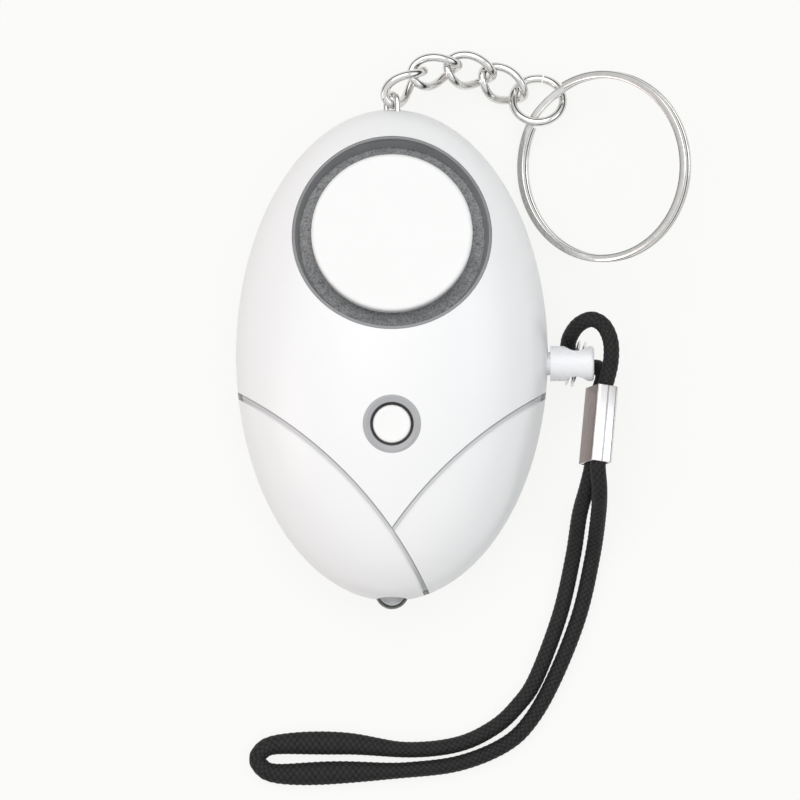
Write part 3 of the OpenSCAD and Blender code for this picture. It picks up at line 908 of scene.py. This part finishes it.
def repaint(node: str, material: Material) -> None:
    """Puts a material on every slot of a CAD node.

    Args:
        node: Node name.
        material: New material.
    """
    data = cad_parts[node].data
    if not data.materials:
        data.materials.append(material)
    for index in range(len(data.materials)):
        data.materials[index] = material


@dataclass
class CaseAssembly:
    """Both shells, the siren, the screws and what is inside."""

    finishes: Finishes

    def build(self) -> None:
        """Paints the case, the siren and the inner parts."""
        f = self.finishes
        plan = {
            f.shell: ("front_shell", "rear_shell"),
            f.screw: ("rear_screws",),
            f.trough: ("siren_bezel",),
            f.cap: ("siren_cap",),
            f.board: ("circuit_board",),
            f.black: ("tact_switch", "boost_coil", "driver_chip", "pin_switch"),
            f.button: ("tact_plunger",),
            f.brass: ("moving_contact", "fixed_contact", "contact_plus", "contact_minus", "piezo_plate"),
            f.ceramic: ("piezo_ceramic",),
            f.steel: ("cell_1", "cell_2", "cell_3"),
        }
        for material, nodes in plan.items():
            for node in nodes:
                repaint(node, material)


@dataclass
class LightAssembly:
    """Light button with a rounded edge, and the lamp with what is inside it."""

    finishes: Finishes
    flange_low: float = 12.22 * MM
    flange_t: float = 0.8 * MM
    edge_steps: int = 8
    button_r: float = 2.425 * MM
    edge: float = 0.32 * MM
    dish: float = 0.08 * MM
    lamp_r: float = 2.2 * MM
    dome_y: float = -30.4 * MM

    def build(self) -> None:
        """Makes the button and the lamp's inside."""
        self._button()
        self._lamp()

    def _button(self) -> None:
        """Turns the button's profile, with a rounded rim and a shallow dish."""
        low, high = (Vector(corner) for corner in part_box("light_button"))
        flange_r = (high.x - low.x) / 2
        flange = self.flange_low
        profile = [(0, low.z), (self.button_r, low.z), (self.button_r, flange), (flange_r, flange)]
        profile += [(flange_r, flange + self.flange_t), (self.button_r, flange + self.flange_t)]
        for k in range(self.edge_steps + 1):
            turn = math.radians(90 * k / self.edge_steps)
            profile.append((
                self.button_r - self.edge + self.edge * math.cos(turn),
                high.z - self.edge + self.edge * math.sin(turn),
            ))
        for k in range(1, self.edge_steps + 1):
            share = 1 - k / self.edge_steps
            reach = (self.button_r - self.edge) * share
            profile.append((reach, high.z - self.dish * (1 - share**2)))
        piece = revolve("light_button_cap", profile, Matrix.Translation((0, BUTTON_Y, 0)))
        dress(piece, self.finishes.button, Body.BUTTON)
        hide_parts("light_button")

    def _lamp(self) -> None:
        """Paints the lamp and puts a dark ring that stands in for the shade at the lamp's rim, a pale reflector, a
        cup and a die inside it.
        """
        repaint("led_lamp", self.finishes.lamp)
        upright = Matrix.Rotation(math.radians(90), 4, "X")
        place = Matrix.Translation((0, self.dome_y + 1.4 * MM, EGG.split_z)) @ upright
        cup_r = 0.55 * self.lamp_r
        cup = [(0, -0.8 * MM), (0.5 * cup_r, -0.8 * MM), (cup_r, 0.2 * MM), (cup_r + 0.08 * MM, 0.2 * MM)]
        cup += [(0.5 * cup_r + 0.1 * MM, -1.0 * MM), (0, -1.0 * MM)]
        dress(revolve("lamp_cup", cup, place, 48), self.finishes.nickel, Body.CASE)
        die = [(0, -0.79 * MM), (0.45 * cup_r, -0.79 * MM), (0.42 * cup_r, -0.45 * MM)]
        die += [(0.2 * cup_r, -0.3 * MM), (0, -0.26 * MM)]
        dress(revolve("lamp_die", die, place, 32), self.finishes.die, Body.CASE)
        # painted shade: a dark ring inside the lamp gives the dark rim of the clear dome
        level = Matrix.Translation((0, self.dome_y, EGG.split_z))
        inner, outer, half = 0.56 * self.lamp_r, 0.985 * self.lamp_r, 0.12 * MM
        rim = [(inner, -half), (outer, -half), (outer, half), (inner, half), (inner, -half)]
        dress(revolve("lamp_shade_ring", rim, level, 96), self.finishes.black, Body.CASE)
        disc = [(0, -half), (inner - 0.02 * MM, -half), (inner - 0.02 * MM, half), (0, half)]
        reflector = revolve("lamp_reflector", disc, level, 96)
        dress(reflector, self.finishes.reflector, Body.CASE)


@dataclass
class CordAssembly:
    """Pull pin with its coiled ring, box-shaped ferrule and the braided wrist cord."""

    finishes: Finishes
    diameter: float = 2.0 * MM
    strands: int = 8
    braid_pitch: float = 0.8 * MM
    braid_depth: float = 0.085 * MM
    braid_lift: float = 0.15
    braid_level: float = 0.75
    under_share: float = 0.55
    swell: float = 0.48
    swell_x: float = -9.0 * MM
    swell_reach: float = 11.0 * MM
    sides: int = 48
    ring_step: float = 0.14 * MM
    lie: float = 1.05
    route_steps: int = 14
    ferrule_top: Point = (26.95, -4.1, 6.95)
    ferrule_dir: Point = (-0.95, -10, 1.8)
    ferrule_turn: float = math.radians(20)
    ferrule_l: float = 10 * MM
    sleeve_t: float = 0.3 * MM
    sleeve_gap: float = 0.12 * MM
    sleeve_round: float = 0.15 * MM
    crease_wide: float = 0.12 * MM
    crease_floor: float = 0.04 * MM
    crease_deep: float = 0.1 * MM
    coil_at: Point = (23.604, -1.071, 5.27)
    coil_r: float = 2.9 * MM
    coil_wire: float = 0.32 * MM
    coil_pitch: float = 0.76 * MM
    coil_lean: float = math.radians(14)
    coil_start: float = -165
    coil_step: float = 3
    coil_points: int = 231

    def route(self) -> list[Vector]:
        """Gives the cord's chosen points, in metres.

        Returns:
            The points from the ferrule round the loop and back.
        """
        lie = self.lie
        points = [
            (26.83, -9, 8.8), (27.12, -5.93, 8.24), (27.3, -4.2, 7.92), (28, -1.2, 8.4), (28.05, 1.6, 8.8),
            (27.2, 3.7, 8.8), (25.7, 4.6, 8.6), (24.2, 4.1, 8), (23.2, 3, 6.8), (22.65, 1.6, 5.3),
            (22.8, 0.1, 4.2), (23.6, -1, 3.8), (24.7, -1.4, 3.8), (25.7, -1.5, 4), (26.55, -1.65, 4.5),
            (27.12, -2.35, 5.3), (26.98, -3.4, 5.83), (26.64, -4.45, 6.03), (26.4, -6.2, 6.36), (26.12, -9.13, 6.89),
            (25.85, -12.07, 7.42), (25.6, -14.4, 7.8), (25, -17, 6.9), (24.1, -20.5, 4.6), (23.3, -26, 1.6),
            (21.6, -33.5, lie), (18.6, -41.5, lie), (16.3, -45, lie), (13.2, -47.9, lie),
            (8.5, -50.1, lie), (2, -50.8, lie), (-6, -50, lie), (-14.5, -50.1, lie),
            (-17, -51.2, lie), (-17, -52.8, lie), (-14.5, -53.9, lie), (-6, -53.7, lie),
            (2, -53.4, lie), (8.8, -52.5, lie), (14.6, -50.1, lie), (18, -46.8, lie),
            (21.1, -41.2, lie), (24.1, -33.5, lie), (25.8, -26, 1.6), (26.5, -20.5, 5.8),
            (26.6, -17.2, 8.7), (26.38, -14.2, 9.68), (26.61, -11.4, 9.22), (26.82, -9.1, 8.82),
        ]
        return [Vector(p) * MM for p in points]

    @staticmethod
    def smooth(points: Sequence[Vector], steps: int) -> list[Vector]:
        """Runs a smooth curve through points.

        Args:
            points: Places to pass.
            steps: Samples between neighbours.

        Returns:
            The dense points.
        """
        dense = []
        last = len(points) - 1
        for i in range(last):
            a, b, c, d = points[max(i - 1, 0)], points[i], points[i + 1], points[min(i + 2, last)]
            for k in range(steps):
                t = k / steps
                square, cube = 2 * a - 5 * b + 4 * c - d, 3 * b - a - 3 * c + d
                dense.append(0.5 * (2 * b + (c - a) * t + square * t**2 + cube * t**3))
        dense.append(points[-1].copy())
        return dense

    def build(self) -> None:
        """Makes the cord, the ferrule and the coil, and paints the pin."""
        repaint("pull_pin", self.finishes.pin)
        ferrule = self._ferrule()
        self._cord()
        self._coil()

    def _coil(self) -> None:
        """Winds the small ring that goes through the pin's hole."""
        place = Matrix.Translation(Vector(self.coil_at) * MM) @ Matrix.Rotation(-self.coil_lean, 4, "Z")
        points = []
        for k in range(self.coil_points):
            a = math.radians(self.coil_start + self.coil_step * k)
            x = self.coil_pitch * (a - math.pi) / (2 * math.pi)
            points.append(place @ Vector((x, self.coil_r * math.sin(a), self.coil_r * math.cos(a))))
        wire = polyline("pin_coil_path", points)
        wire.bevel_depth, wire.bevel_resolution, wire.use_fill_caps = self.coil_wire / 2, 5, True
        carrier = add_object("pin_coil_carrier", wire)
        mesh = bpy.data.meshes.new_from_object(carrier)
        bpy.data.objects.remove(carrier)
        mesh.shade_smooth()
        piece = add_object("pin_coil", mesh)
        dress(piece, self.finishes.nickel, Body.PIN)
        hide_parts("pin_ring")

    def _braid_tree(self) -> GeometryTree:
        """Builds the tree that weaves a braid along a path.

        Returns:
            The tree.
        """
        tree = GeometryTree("braid_along_path")
        radius, step, strands, pitch, depth = (
            tree.input(name) for name in ("Radius", "Step", "Strands", "Pitch", "Depth")
        )
        swell, swell_x, reach = (tree.input(name) for name in ("Swell", "Swell X", "Swell Reach"))
        sides = tree.input("Sides", "NodeSocketInt")
        material = tree.input("Material", "NodeSocketMaterial")
        entry = {"Curve": tree.source.outputs["Geometry"], "Length": step}
        path = tree.node("GeometryNodeResampleCurve", entry, mode="LENGTH").outputs[0]
        position = tree.node("GeometryNodeInputPosition").outputs[0]
        parameter = tree.node("GeometryNodeSplineParameter")
        path = tree.store(path, "braid_centre", position, "FLOAT_VECTOR")
        path = tree.store(path, "braid_along", parameter.outputs["Length"])
        ring = {"Resolution": sides, "Radius": radius}
        circle = tree.node("GeometryNodeCurvePrimitiveCircle", ring, mode="RADIUS")
        section = tree.store(circle.outputs[0], "braid_around", parameter.outputs["Factor"])
        tube = {"Curve": path, "Profile Curve": section, "Fill Caps": True}
        braid = tree.node("GeometryNodeCurveToMesh", tube).outputs[0]
        turns = tree.math("MULTIPLY", tree.named("braid_around"), strands)
        travel = tree.math("DIVIDE", tree.named("braid_along"), pitch)
        phases = [tree.math("ADD", turns, travel), tree.math("SUBTRACT", turns, travel)]
        crowns, lifts = [], []
        for phase in phases:
            across = tree.math("SUBTRACT", tree.math("MULTIPLY", tree.math("FRACT", phase), 2.0), 1.0)
            crowns.append(tree.math("SUBTRACT", 1.0, tree.math("MULTIPLY", across, across)))
        for own, other in (crowns, crowns[::-1]):
            dip = {0: other, 1: 1 - self.under_share, 2: self.under_share}
            dipped = tree.node("ShaderNodeMath", dip, operation="MULTIPLY_ADD").outputs[0]
            lifts.append(tree.math("MULTIPLY", tree.math("SQRT", own), dipped))
        cells = tree.math("ADD", tree.math("FLOOR", phases[0]), tree.math("FLOOR", phases[1]))
        over = tree.math("FLOORED_MODULO", cells, 2.0)
        for name, (right, left) in (("braid_height", lifts), ("braid_yarn", phases)):
            either = {"Switch": over, "False": right, "True": left}
            chosen = tree.node("GeometryNodeSwitch", either, input_type="FLOAT").outputs[0]
            braid = tree.store(braid, name, chosen)
        height = tree.math("SUBTRACT", tree.named("braid_height"), self.braid_level)
        rise = tree.math("MULTIPLY", height, depth)
        braid = tree.move(braid, tree.node("GeometryNodeInputNormal").outputs[0], rise)
        centre = tree.named("braid_centre", "FLOAT_VECTOR")
        x = tree.node("ShaderNodeSeparateXYZ", {0: centre}).outputs[0]
        far = tree.math("DIVIDE", tree.math("SUBTRACT", x, swell_x), reach)
        near = tree.math("MAXIMUM", tree.math("SUBTRACT", 1.0, tree.math("MULTIPLY", far, far)), 0.0)
        gain = tree.math("MULTIPLY", tree.math("MULTIPLY", near, near), swell)
        out = tree.vector("SUBTRACT", position, centre).outputs[0]
        level = tree.vector("MULTIPLY", out, (1.0, 1.0, 0.0)).outputs[0]
        tree.close(tree.move(braid, level, gain), material)
        return tree

    def _cord(self) -> None:
        dense = self.smooth(self.route(), self.route_steps)
        piece = self._braid_tree().run(
            "wrist_cord_braid",
            polyline("wrist_cord_path", dense),
            {
                "Radius": self.diameter / 2 + self.braid_lift * self.braid_depth,
                "Step": self.ring_step,
                "Strands": float(self.strands),
                "Pitch": self.braid_pitch,
                "Depth": self.braid_depth,
                "Swell": self.swell,
                "Swell X": self.swell_x,
                "Swell Reach": self.swell_reach,
                "Sides": self.sides,
                "Material": self.finishes.cord,
            },
        )
        dress(piece, self.finishes.cord, Body.PIN)
        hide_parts("wrist_cord")

    def _sleeve_outline(self, grow: float) -> list[Pair]:
        """Gives the sleeve's rounded outline, with a crease on the face that looks up when it is grown.

        Args:
            grow: How far outside the bore.

        Returns:
            Points in order round the outline.
        """
        radius = self.sleeve_round + grow
        flat_w = self.diameter / 2 + self.sleeve_gap - self.sleeve_round
        flat_h = self.diameter + self.sleeve_gap - self.sleeve_round
        outline = []
        for corner, (i, j) in enumerate(((1, 1), (-1, 1), (-1, -1), (1, -1))):
            for k in range(7):
                turn = math.radians(90 * corner + 15 * k)
                outline.append((i * flat_w + radius * math.cos(turn), j * flat_h + radius * math.sin(turn)))
            if corner == 0:
                top, wide, floor = flat_h + radius, self.crease_wide, self.crease_floor
                foot = top - (self.crease_deep if grow > 0 else 0.0)
                outline += [(wide, top), (floor, foot), (-floor, foot), (-wide, top)]
        return outline

    def _ferrule(self) -> Piece:
        """Lofts the box-shaped sleeve, with rounded edges and rims and a fine crease along its top.

        Returns:
            The sleeve.
        """
        along = Vector(self.ferrule_dir).normalized()
        start = Vector((math.sin(self.ferrule_turn), 0, math.cos(self.ferrule_turn)))
        across = (start - start.dot(along) * along).normalized()
        side = along.cross(across)
        turn = Matrix((side, across, along)).transposed().to_4x4()
        place = Matrix.Translation(Vector(self.ferrule_top) * MM) @ turn
        rim = 0.4 * self.sleeve_t
        length, full = self.ferrule_l, self.sleeve_t
        bends = [(1 - math.cos(math.radians(a)), math.sin(math.radians(a))) for a in (0, 30, 60, 90)]
        stations = [(rim * far, full - rim + rim * out) for far, out in bends]
        stations += [(length - rim * far, full - rim + rim * out) for far, out in reversed(bends)]
        stations += [(length, 0.0), (0.0, 0.0)]
        shape = bmesh.new()
        rings = []
        for height, grow in stations:
            rings.append([shape.verts.new((x, y, height)) for x, y in self._sleeve_outline(grow)])
        count = len(rings[0])
        for low, high in zip(rings, rings[1:] + rings[:1]):
            for k in range(count):
                shape.faces.new((low[k], low[(k + 1) % count], high[(k + 1) % count], high[k]))
        piece = finish_mesh("cord_ferrule_sleeve", shape, place)
        dress(piece, self.finishes.ferrule, Body.PIN)
        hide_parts("cord_ferrule")
        return piece


@dataclass
class ChainAssembly:
    """Bail, four curb links, jump ring and split ring."""

    finishes: Finishes
    wire_d: float = 1.1 * MM
    link_l: float = 7.5 * MM
    link_w: float = 5.2 * MM
    link_steps: int = 120
    wire_sides: int = 28
    slack: float = 0.5 * MM
    twist: float = math.radians(45)
    headings: tuple[float, ...] = (40.1, 12.1, -12.8, -31.2)
    falls: tuple[float, ...] = (17.2, 15.9, 21.2, 19.4)
    rolls: tuple[float, ...] = (59.9, 35.6, 18, 8.4)
    slack_shares: tuple[float, ...] = (1.19, 0.93, 0.67, 0.43)
    bail_bend: Point = (0, 32.3, 7.6)
    first_link: Point = (-0.69, 0.37, 0.46)
    ring_cross: Point = (0.87, -0.55, 0.4)
    jump_start: float = 80
    jump_sweep: float = 356
    jump_points: int = 120
    ring_start: float = 154
    ring_step: float = 2
    ring_points: int = 343
    step_at: float = 478
    step_reach: float = 36
    jump_d: float = 7.6 * MM
    jump_tilt: float = math.radians(29.1)
    jump_heading: float = math.radians(-22.1)
    ring_d: float = 24.6 * MM
    ring_wire_w: float = 1.0 * MM
    ring_wire_h: float = 0.62 * MM
    turn_gap: float = 0.45 * MM
    ring_tilt: float = math.radians(29)
    ring_spot: float = math.radians(137)

    def build(self) -> None:
        """Makes every wire of the chain."""
        wire = self._wire_tree()
        link = self._link_tree()
        centres, turns = self._links()
        for index, (centre, turn) in enumerate(zip(centres, turns)):
            self._link(link, index, centre, turn)
        jump_at = self._jump(wire, centres[3])
        self._ring(wire, jump_at)
        repaint("chain_bail", self.finishes.nickel)

    def _direction(self, index: int) -> Vector:
        """Gives the way a link points.

        Args:
            index: Link number from 0.

        Returns:
            A unit vector.
        """
        heading, fall = math.radians(self.headings[index]), math.radians(self.falls[index])
        level = math.cos(fall)
        return Vector((level * math.cos(heading), level * math.sin(heading), -math.sin(fall)))

    def _links(self) -> tuple[list[Vector], list[Matrix]]:
        """Places the four links one in the other.

        Returns:
            Their centres and turns.
        """
        arm = (self.link_l - self.wire_d) / 2
        ways = [self._direction(i) for i in range(4)]
        start = (Vector(self.bail_bend) + Vector(self.first_link)) * MM
        centres = [start + arm * ways[0]]
        for i in range(3):
            both = ways[i] + ways[i + 1]
            hook = self.wire_d + self.slack * self.slack_shares[i]
            centres.append(centres[i] + arm * both - hook * both.normalized())
        turns = []
        for angles in zip(self.headings, self.falls, self.rolls):
            h, f, r = (Matrix.Rotation(math.radians(a), 4, axis) for a, axis in zip(angles, "ZYX"))
            turns.append(h @ f @ r)
        return centres, turns

    def _link_tree(self) -> GeometryTree:
        """Builds the tree of a curb link: an oval of wire twisted between its ends.

        Returns:
            The tree.
        """
        tree = GeometryTree("curb_link")
        half_l, half_w = tree.input("Half Length"), tree.input("Half Width")
        wire_r, twist = tree.input("Wire Radius"), tree.input("Twist")
        place, turn = tree.input("Place", "NodeSocketVector"), tree.input("Turn", "NodeSocketVector")
        material = tree.input("Material", "NodeSocketMaterial")
        circle = tree.node("GeometryNodeCurvePrimitiveCircle", {"Resolution": self.link_steps}, mode="RADIUS")
        angle = tree.math("MULTIPLY", tree.node("GeometryNodeSplineParameter").outputs["Factor"], 2 * math.pi)
        cosine, sine = tree.math("COSINE", angle), tree.math("SINE", angle)
        lean = tree.math("MULTIPLY", cosine, twist)
        out = tree.math("MULTIPLY", sine, half_w)
        place_on_oval = tree.node("ShaderNodeCombineXYZ", {
            0: tree.math("MULTIPLY", cosine, half_l),
            1: tree.math("MULTIPLY", out, tree.math("COSINE", lean)),
            2: tree.math("MULTIPLY", out, tree.math("SINE", lean)),
        })
        bent = {"Geometry": circle.outputs[0], "Position": place_on_oval.outputs[0]}
        oval = tree.node("GeometryNodeSetPosition", bent)
        ring = {"Resolution": self.wire_sides, "Radius": wire_r}
        section = tree.node("GeometryNodeCurvePrimitiveCircle", ring, mode="RADIUS")
        swept = {"Curve": oval.outputs[0], "Profile Curve": section.outputs[0]}
        body = tree.node("GeometryNodeCurveToMesh", swept).outputs[0]
        put = {"Geometry": body, "Translation": place, "Rotation": turn}
        tree.close(tree.node("GeometryNodeTransform", put).outputs[0], material)
        return tree

    def _wire_tree(self) -> GeometryTree:
        """Builds the tree of a wire with a rounded flat section along a path.

        Returns:
            The tree.
        """
        tree = GeometryTree("wire_along_path")
        width, height, corner = tree.input("Width"), tree.input("Height"), tree.input("Corner")
        place, turn = tree.input("Place", "NodeSocketVector"), tree.input("Turn", "NodeSocketVector")
        material = tree.input("Material", "NodeSocketMaterial")
        path = {"Curve": tree.source.outputs["Geometry"]}
        upright = tree.node("GeometryNodeSetCurveNormal", path, mode="Z_UP")
        flat = {"Width": width, "Height": height}
        section = tree.node("GeometryNodeCurvePrimitiveQuadrilateral", flat, mode="RECTANGLE")
        corners = {"Curve": section.outputs[0], "Count": 6, "Radius": corner}
        rounded = tree.node("GeometryNodeFilletCurve", corners, mode="POLY")
        swept = {"Curve": upright.outputs[0], "Profile Curve": rounded.outputs[0], "Fill Caps": True}
        body = tree.node("GeometryNodeCurveToMesh", swept).outputs[0]
        put = {"Geometry": body, "Translation": place, "Rotation": turn}
        tree.close(tree.node("GeometryNodeTransform", put).outputs[0], material)
        return tree

    def _link(self, tree: GeometryTree, index: int, centre: Vector, turn: Matrix) -> None:
        """Makes one link.

        Args:
            tree: The link tree.
            index: Link number from 0.
            centre: Its centre.
            turn: Its turn.
        """
        piece = tree.run(
            f"curb_link_{index + 1}",
            polyline("link_seed", [Vector(), Vector((MM, 0, 0))]),
            {
                "Half Length": (self.link_l - self.wire_d) / 2,
                "Half Width": (self.link_w - self.wire_d) / 2,
                "Wire Radius": self.wire_d / 2,
                "Twist": self.twist,
                "Place": centre,
                "Turn": Vector(turn.to_euler()),
                "Material": self.finishes.nickel,
            },
        )
        dress(piece, self.finishes.nickel, Body(f"link_{index + 1}"))
        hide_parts(f"chain_link_{index + 1}")

    def _jump(self, tree: GeometryTree, last_centre: Vector) -> Vector:
        """Makes the jump ring on the last link.

        Args:
            tree: The wire tree.
            last_centre: Centre of the last link.

        Returns:
            The jump ring's centre.
        """
        arm = (self.link_l - self.wire_d) / 2
        radius = (self.jump_d - self.wire_d) / 2
        h, t = self.jump_heading, self.jump_tilt
        way = Vector((math.cos(h), math.sin(h) * math.cos(t), -math.sin(h) * math.sin(t)))
        hook = self.wire_d + self.slack * self.slack_shares[3]
        centre = last_centre + (arm - hook) * self._direction(3) + radius * way
        last = self.jump_points - 1
        turns = [math.radians(self.jump_start + self.jump_sweep * k / last) for k in range(self.jump_points)]
        path = polyline("jump_path", [Vector((radius * math.cos(a), radius * math.sin(a), 0)) for a in turns])
        values = self._wire_values(self.wire_d, self.wire_d, 0.499 * self.wire_d, centre, (-t, 0, 0))
        piece = tree.run("jump_ring_wire", path, values)
        dress(piece, self.finishes.nickel, Body.JUMP)
        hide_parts("jump_ring")
        return centre

    def _ring(self, tree: GeometryTree, jump_at: Vector) -> None:
        """Makes the split ring through the jump ring.

        Args:
            tree: The wire tree.
            jump_at: The jump ring's centre.
        """
        radius = (self.ring_d - self.ring_wire_w) / 2
        crossing = jump_at + Vector(self.ring_cross) * MM
        t, spot = self.ring_tilt, self.ring_spot
        arm = Vector((math.cos(spot) * math.cos(t), math.sin(spot), math.cos(spot) * math.sin(t)))
        centre = crossing - radius * arm
        rise = self.ring_wire_h + self.turn_gap
        points = []
        for k in range(self.ring_points):
            angle = self.ring_start + self.ring_step * k
            share = min(max((angle - self.step_at) / self.step_reach, 0), 1)
            height = rise * (share * share * (3 - 2 * share) - 0.5)
            a = math.radians(angle)
            points.append(Vector((radius * math.cos(a), radius * math.sin(a), height)))
        values = self._wire_values(self.ring_wire_w, self.ring_wire_h, 0.2 * MM, centre, (0, -t, 0))
        piece = tree.run("split_ring_wire", polyline("split_path", points), values)
        dress(piece, self.finishes.nickel, Body.RING)
        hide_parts("split_ring")

    def _wire_values(
        self, width: float, height: float, corner: float, place: Vector, turn: Point
    ) -> dict[str, object]:
        """Gathers the wire tree's inputs.

        Args:
            width: Section width.
            height: Section height.
            corner: Corner radius.
            place: Where the wire goes.
            turn: Euler turn in radians.

        Returns:
            Values by input name.
        """
        return {
            "Width": width, "Height": height, "Corner": corner, "Place": place,
            "Turn": Vector(turn), "Material": self.finishes.nickel,
        }


@dataclass
class Studio:
    """Pale floor, soft lights and the camera of the photograph."""

    aim: Point = (1.03 * MM, -5.74 * MM, 7.6 * MM)
    frame_w: float = 102.6 * MM
    lens: float = 500.0
    sensor: float = 36.0
    floor_white: float = 0.86
    floor_half: float = 3.0
    floor_drop: float = 0.02 * MM
    sky_strength: float = 0.92
    sky_stops: tuple[Pair, ...] = (
        (0.0, 0.8), (0.06, 0.7), (0.13, 0.06), (0.37, 0.04), (0.49, 0.7), (0.66, 1.0),
    )

    def build(self) -> None:
        """Makes the whole studio."""
        self._camera()
        self._floor()
        self._world()
        self._lights()
        bpy.context.scene.view_settings.view_transform = "Standard"

    def _camera(self) -> None:
        """Looks straight down with a long lens."""
        data = bpy.data.cameras.new("camera")
        data.lens, data.sensor_width, data.sensor_fit = self.lens, self.sensor, "HORIZONTAL"
        data.clip_start, data.clip_end = 0.01, 50
        camera = add_object("camera", data)
        distance = self.frame_w * self.lens / self.sensor
        camera.location = Vector(self.aim) + Vector((0, 0, distance))
        bpy.context.scene.camera = camera

    def _floor(self) -> None:
        """Lays a large pale floor just under the object, white to the eye and with a faint shadow."""
        s = Shader("studio_floor")
        paler = [(NOISE_LOW, (0.72, 0.72, 0.715)), (NOISE_HIGH, (0.74, 0.74, 0.735))]
        s.set(Base_Color=s.ramp(s.noise(6, 2), paler), Roughness=0.9, Specular_IOR_Level=0.1)
        path = s.node("ShaderNodeLightPath")
        seen = s.math("MAXIMUM", path.outputs["Is Camera Ray"], path.outputs["Is Glossy Ray"])
        seen = s.math("MAXIMUM", seen, path.outputs["Is Transmission Ray"])
        white = s.node("ShaderNodeEmission", {"Color": (1.0, 1.0, 0.985)}).outputs["Emission"]
        share = s.math("MULTIPLY", seen, self.floor_white)
        both = s.node("ShaderNodeMixShader", {0: share, 1: s.bsdf.outputs["BSDF"], 2: white})
        s.feed(s.out.inputs["Surface"], both.outputs[0])
        shape = bmesh.new()
        bmesh.ops.create_grid(shape, x_segments=1, y_segments=1, size=self.floor_half)
        floor = finish_mesh("studio_floor", shape, Matrix.Translation((0, 0, -self.floor_drop)))
        floor.data.materials.append(s.material)

    def _world(self) -> None:
        """Surrounds the object with a sky that is dark near the horizon, for the metal."""
        world = bpy.data.worlds.new("studio")
        bpy.context.scene.world = world
        world.use_nodes = True
        tree = NodeTree(world.node_tree)
        coords = tree.node("ShaderNodeTexCoord").outputs["Generated"]
        height = tree.node("ShaderNodeSeparateXYZ", {0: coords}).outputs["Z"]
        color = tree.ramp(height, [(position, (value,) * 3) for position, value in self.sky_stops])
        sky = tree.node("ShaderNodeBackground", {"Color": color, "Strength": self.sky_strength})
        tree.node("ShaderNodeOutputWorld", {"Surface": sky.outputs["Background"]})

    def _lights(self) -> None:
        """Hangs soft panels over the object."""
        panels = (
            ("key_panel", (-0.25, 0.7, 1.95), 1.75, 13.0, (1.0, 1.0, 1.0)),
            ("warm_panel", (-0.7, -0.2, 0.35), 0.35, 0.7, (1.0, 0.8, 0.78)),
            ("cool_panel", (0.6, 0.08, 0.62), 0.35, 0.5, (0.74, 0.9, 1.0)),
        )
        for name, place, size, power, color in panels:
            data = bpy.data.lights.new(name, "AREA")
            data.shape, data.size, data.energy, data.color = "SQUARE", size, power, color
            lamp = add_object(name, data)
            lamp.location = place
            lamp.rotation_euler = (Vector(self.aim) - Vector(place)).to_track_quat("-Z", "Y").to_euler()


def main() -> None:
    """Builds the studio and every sub-assembly."""
    logging.basicConfig(level=logging.INFO)
    Studio().build()
    finishes = Finishes()
    CordAssembly(finishes).build()
    CaseAssembly(finishes).build()
    LightAssembly(finishes).build()
    ChainAssembly(finishes).build()


if __name__ == "__main__":
    main()
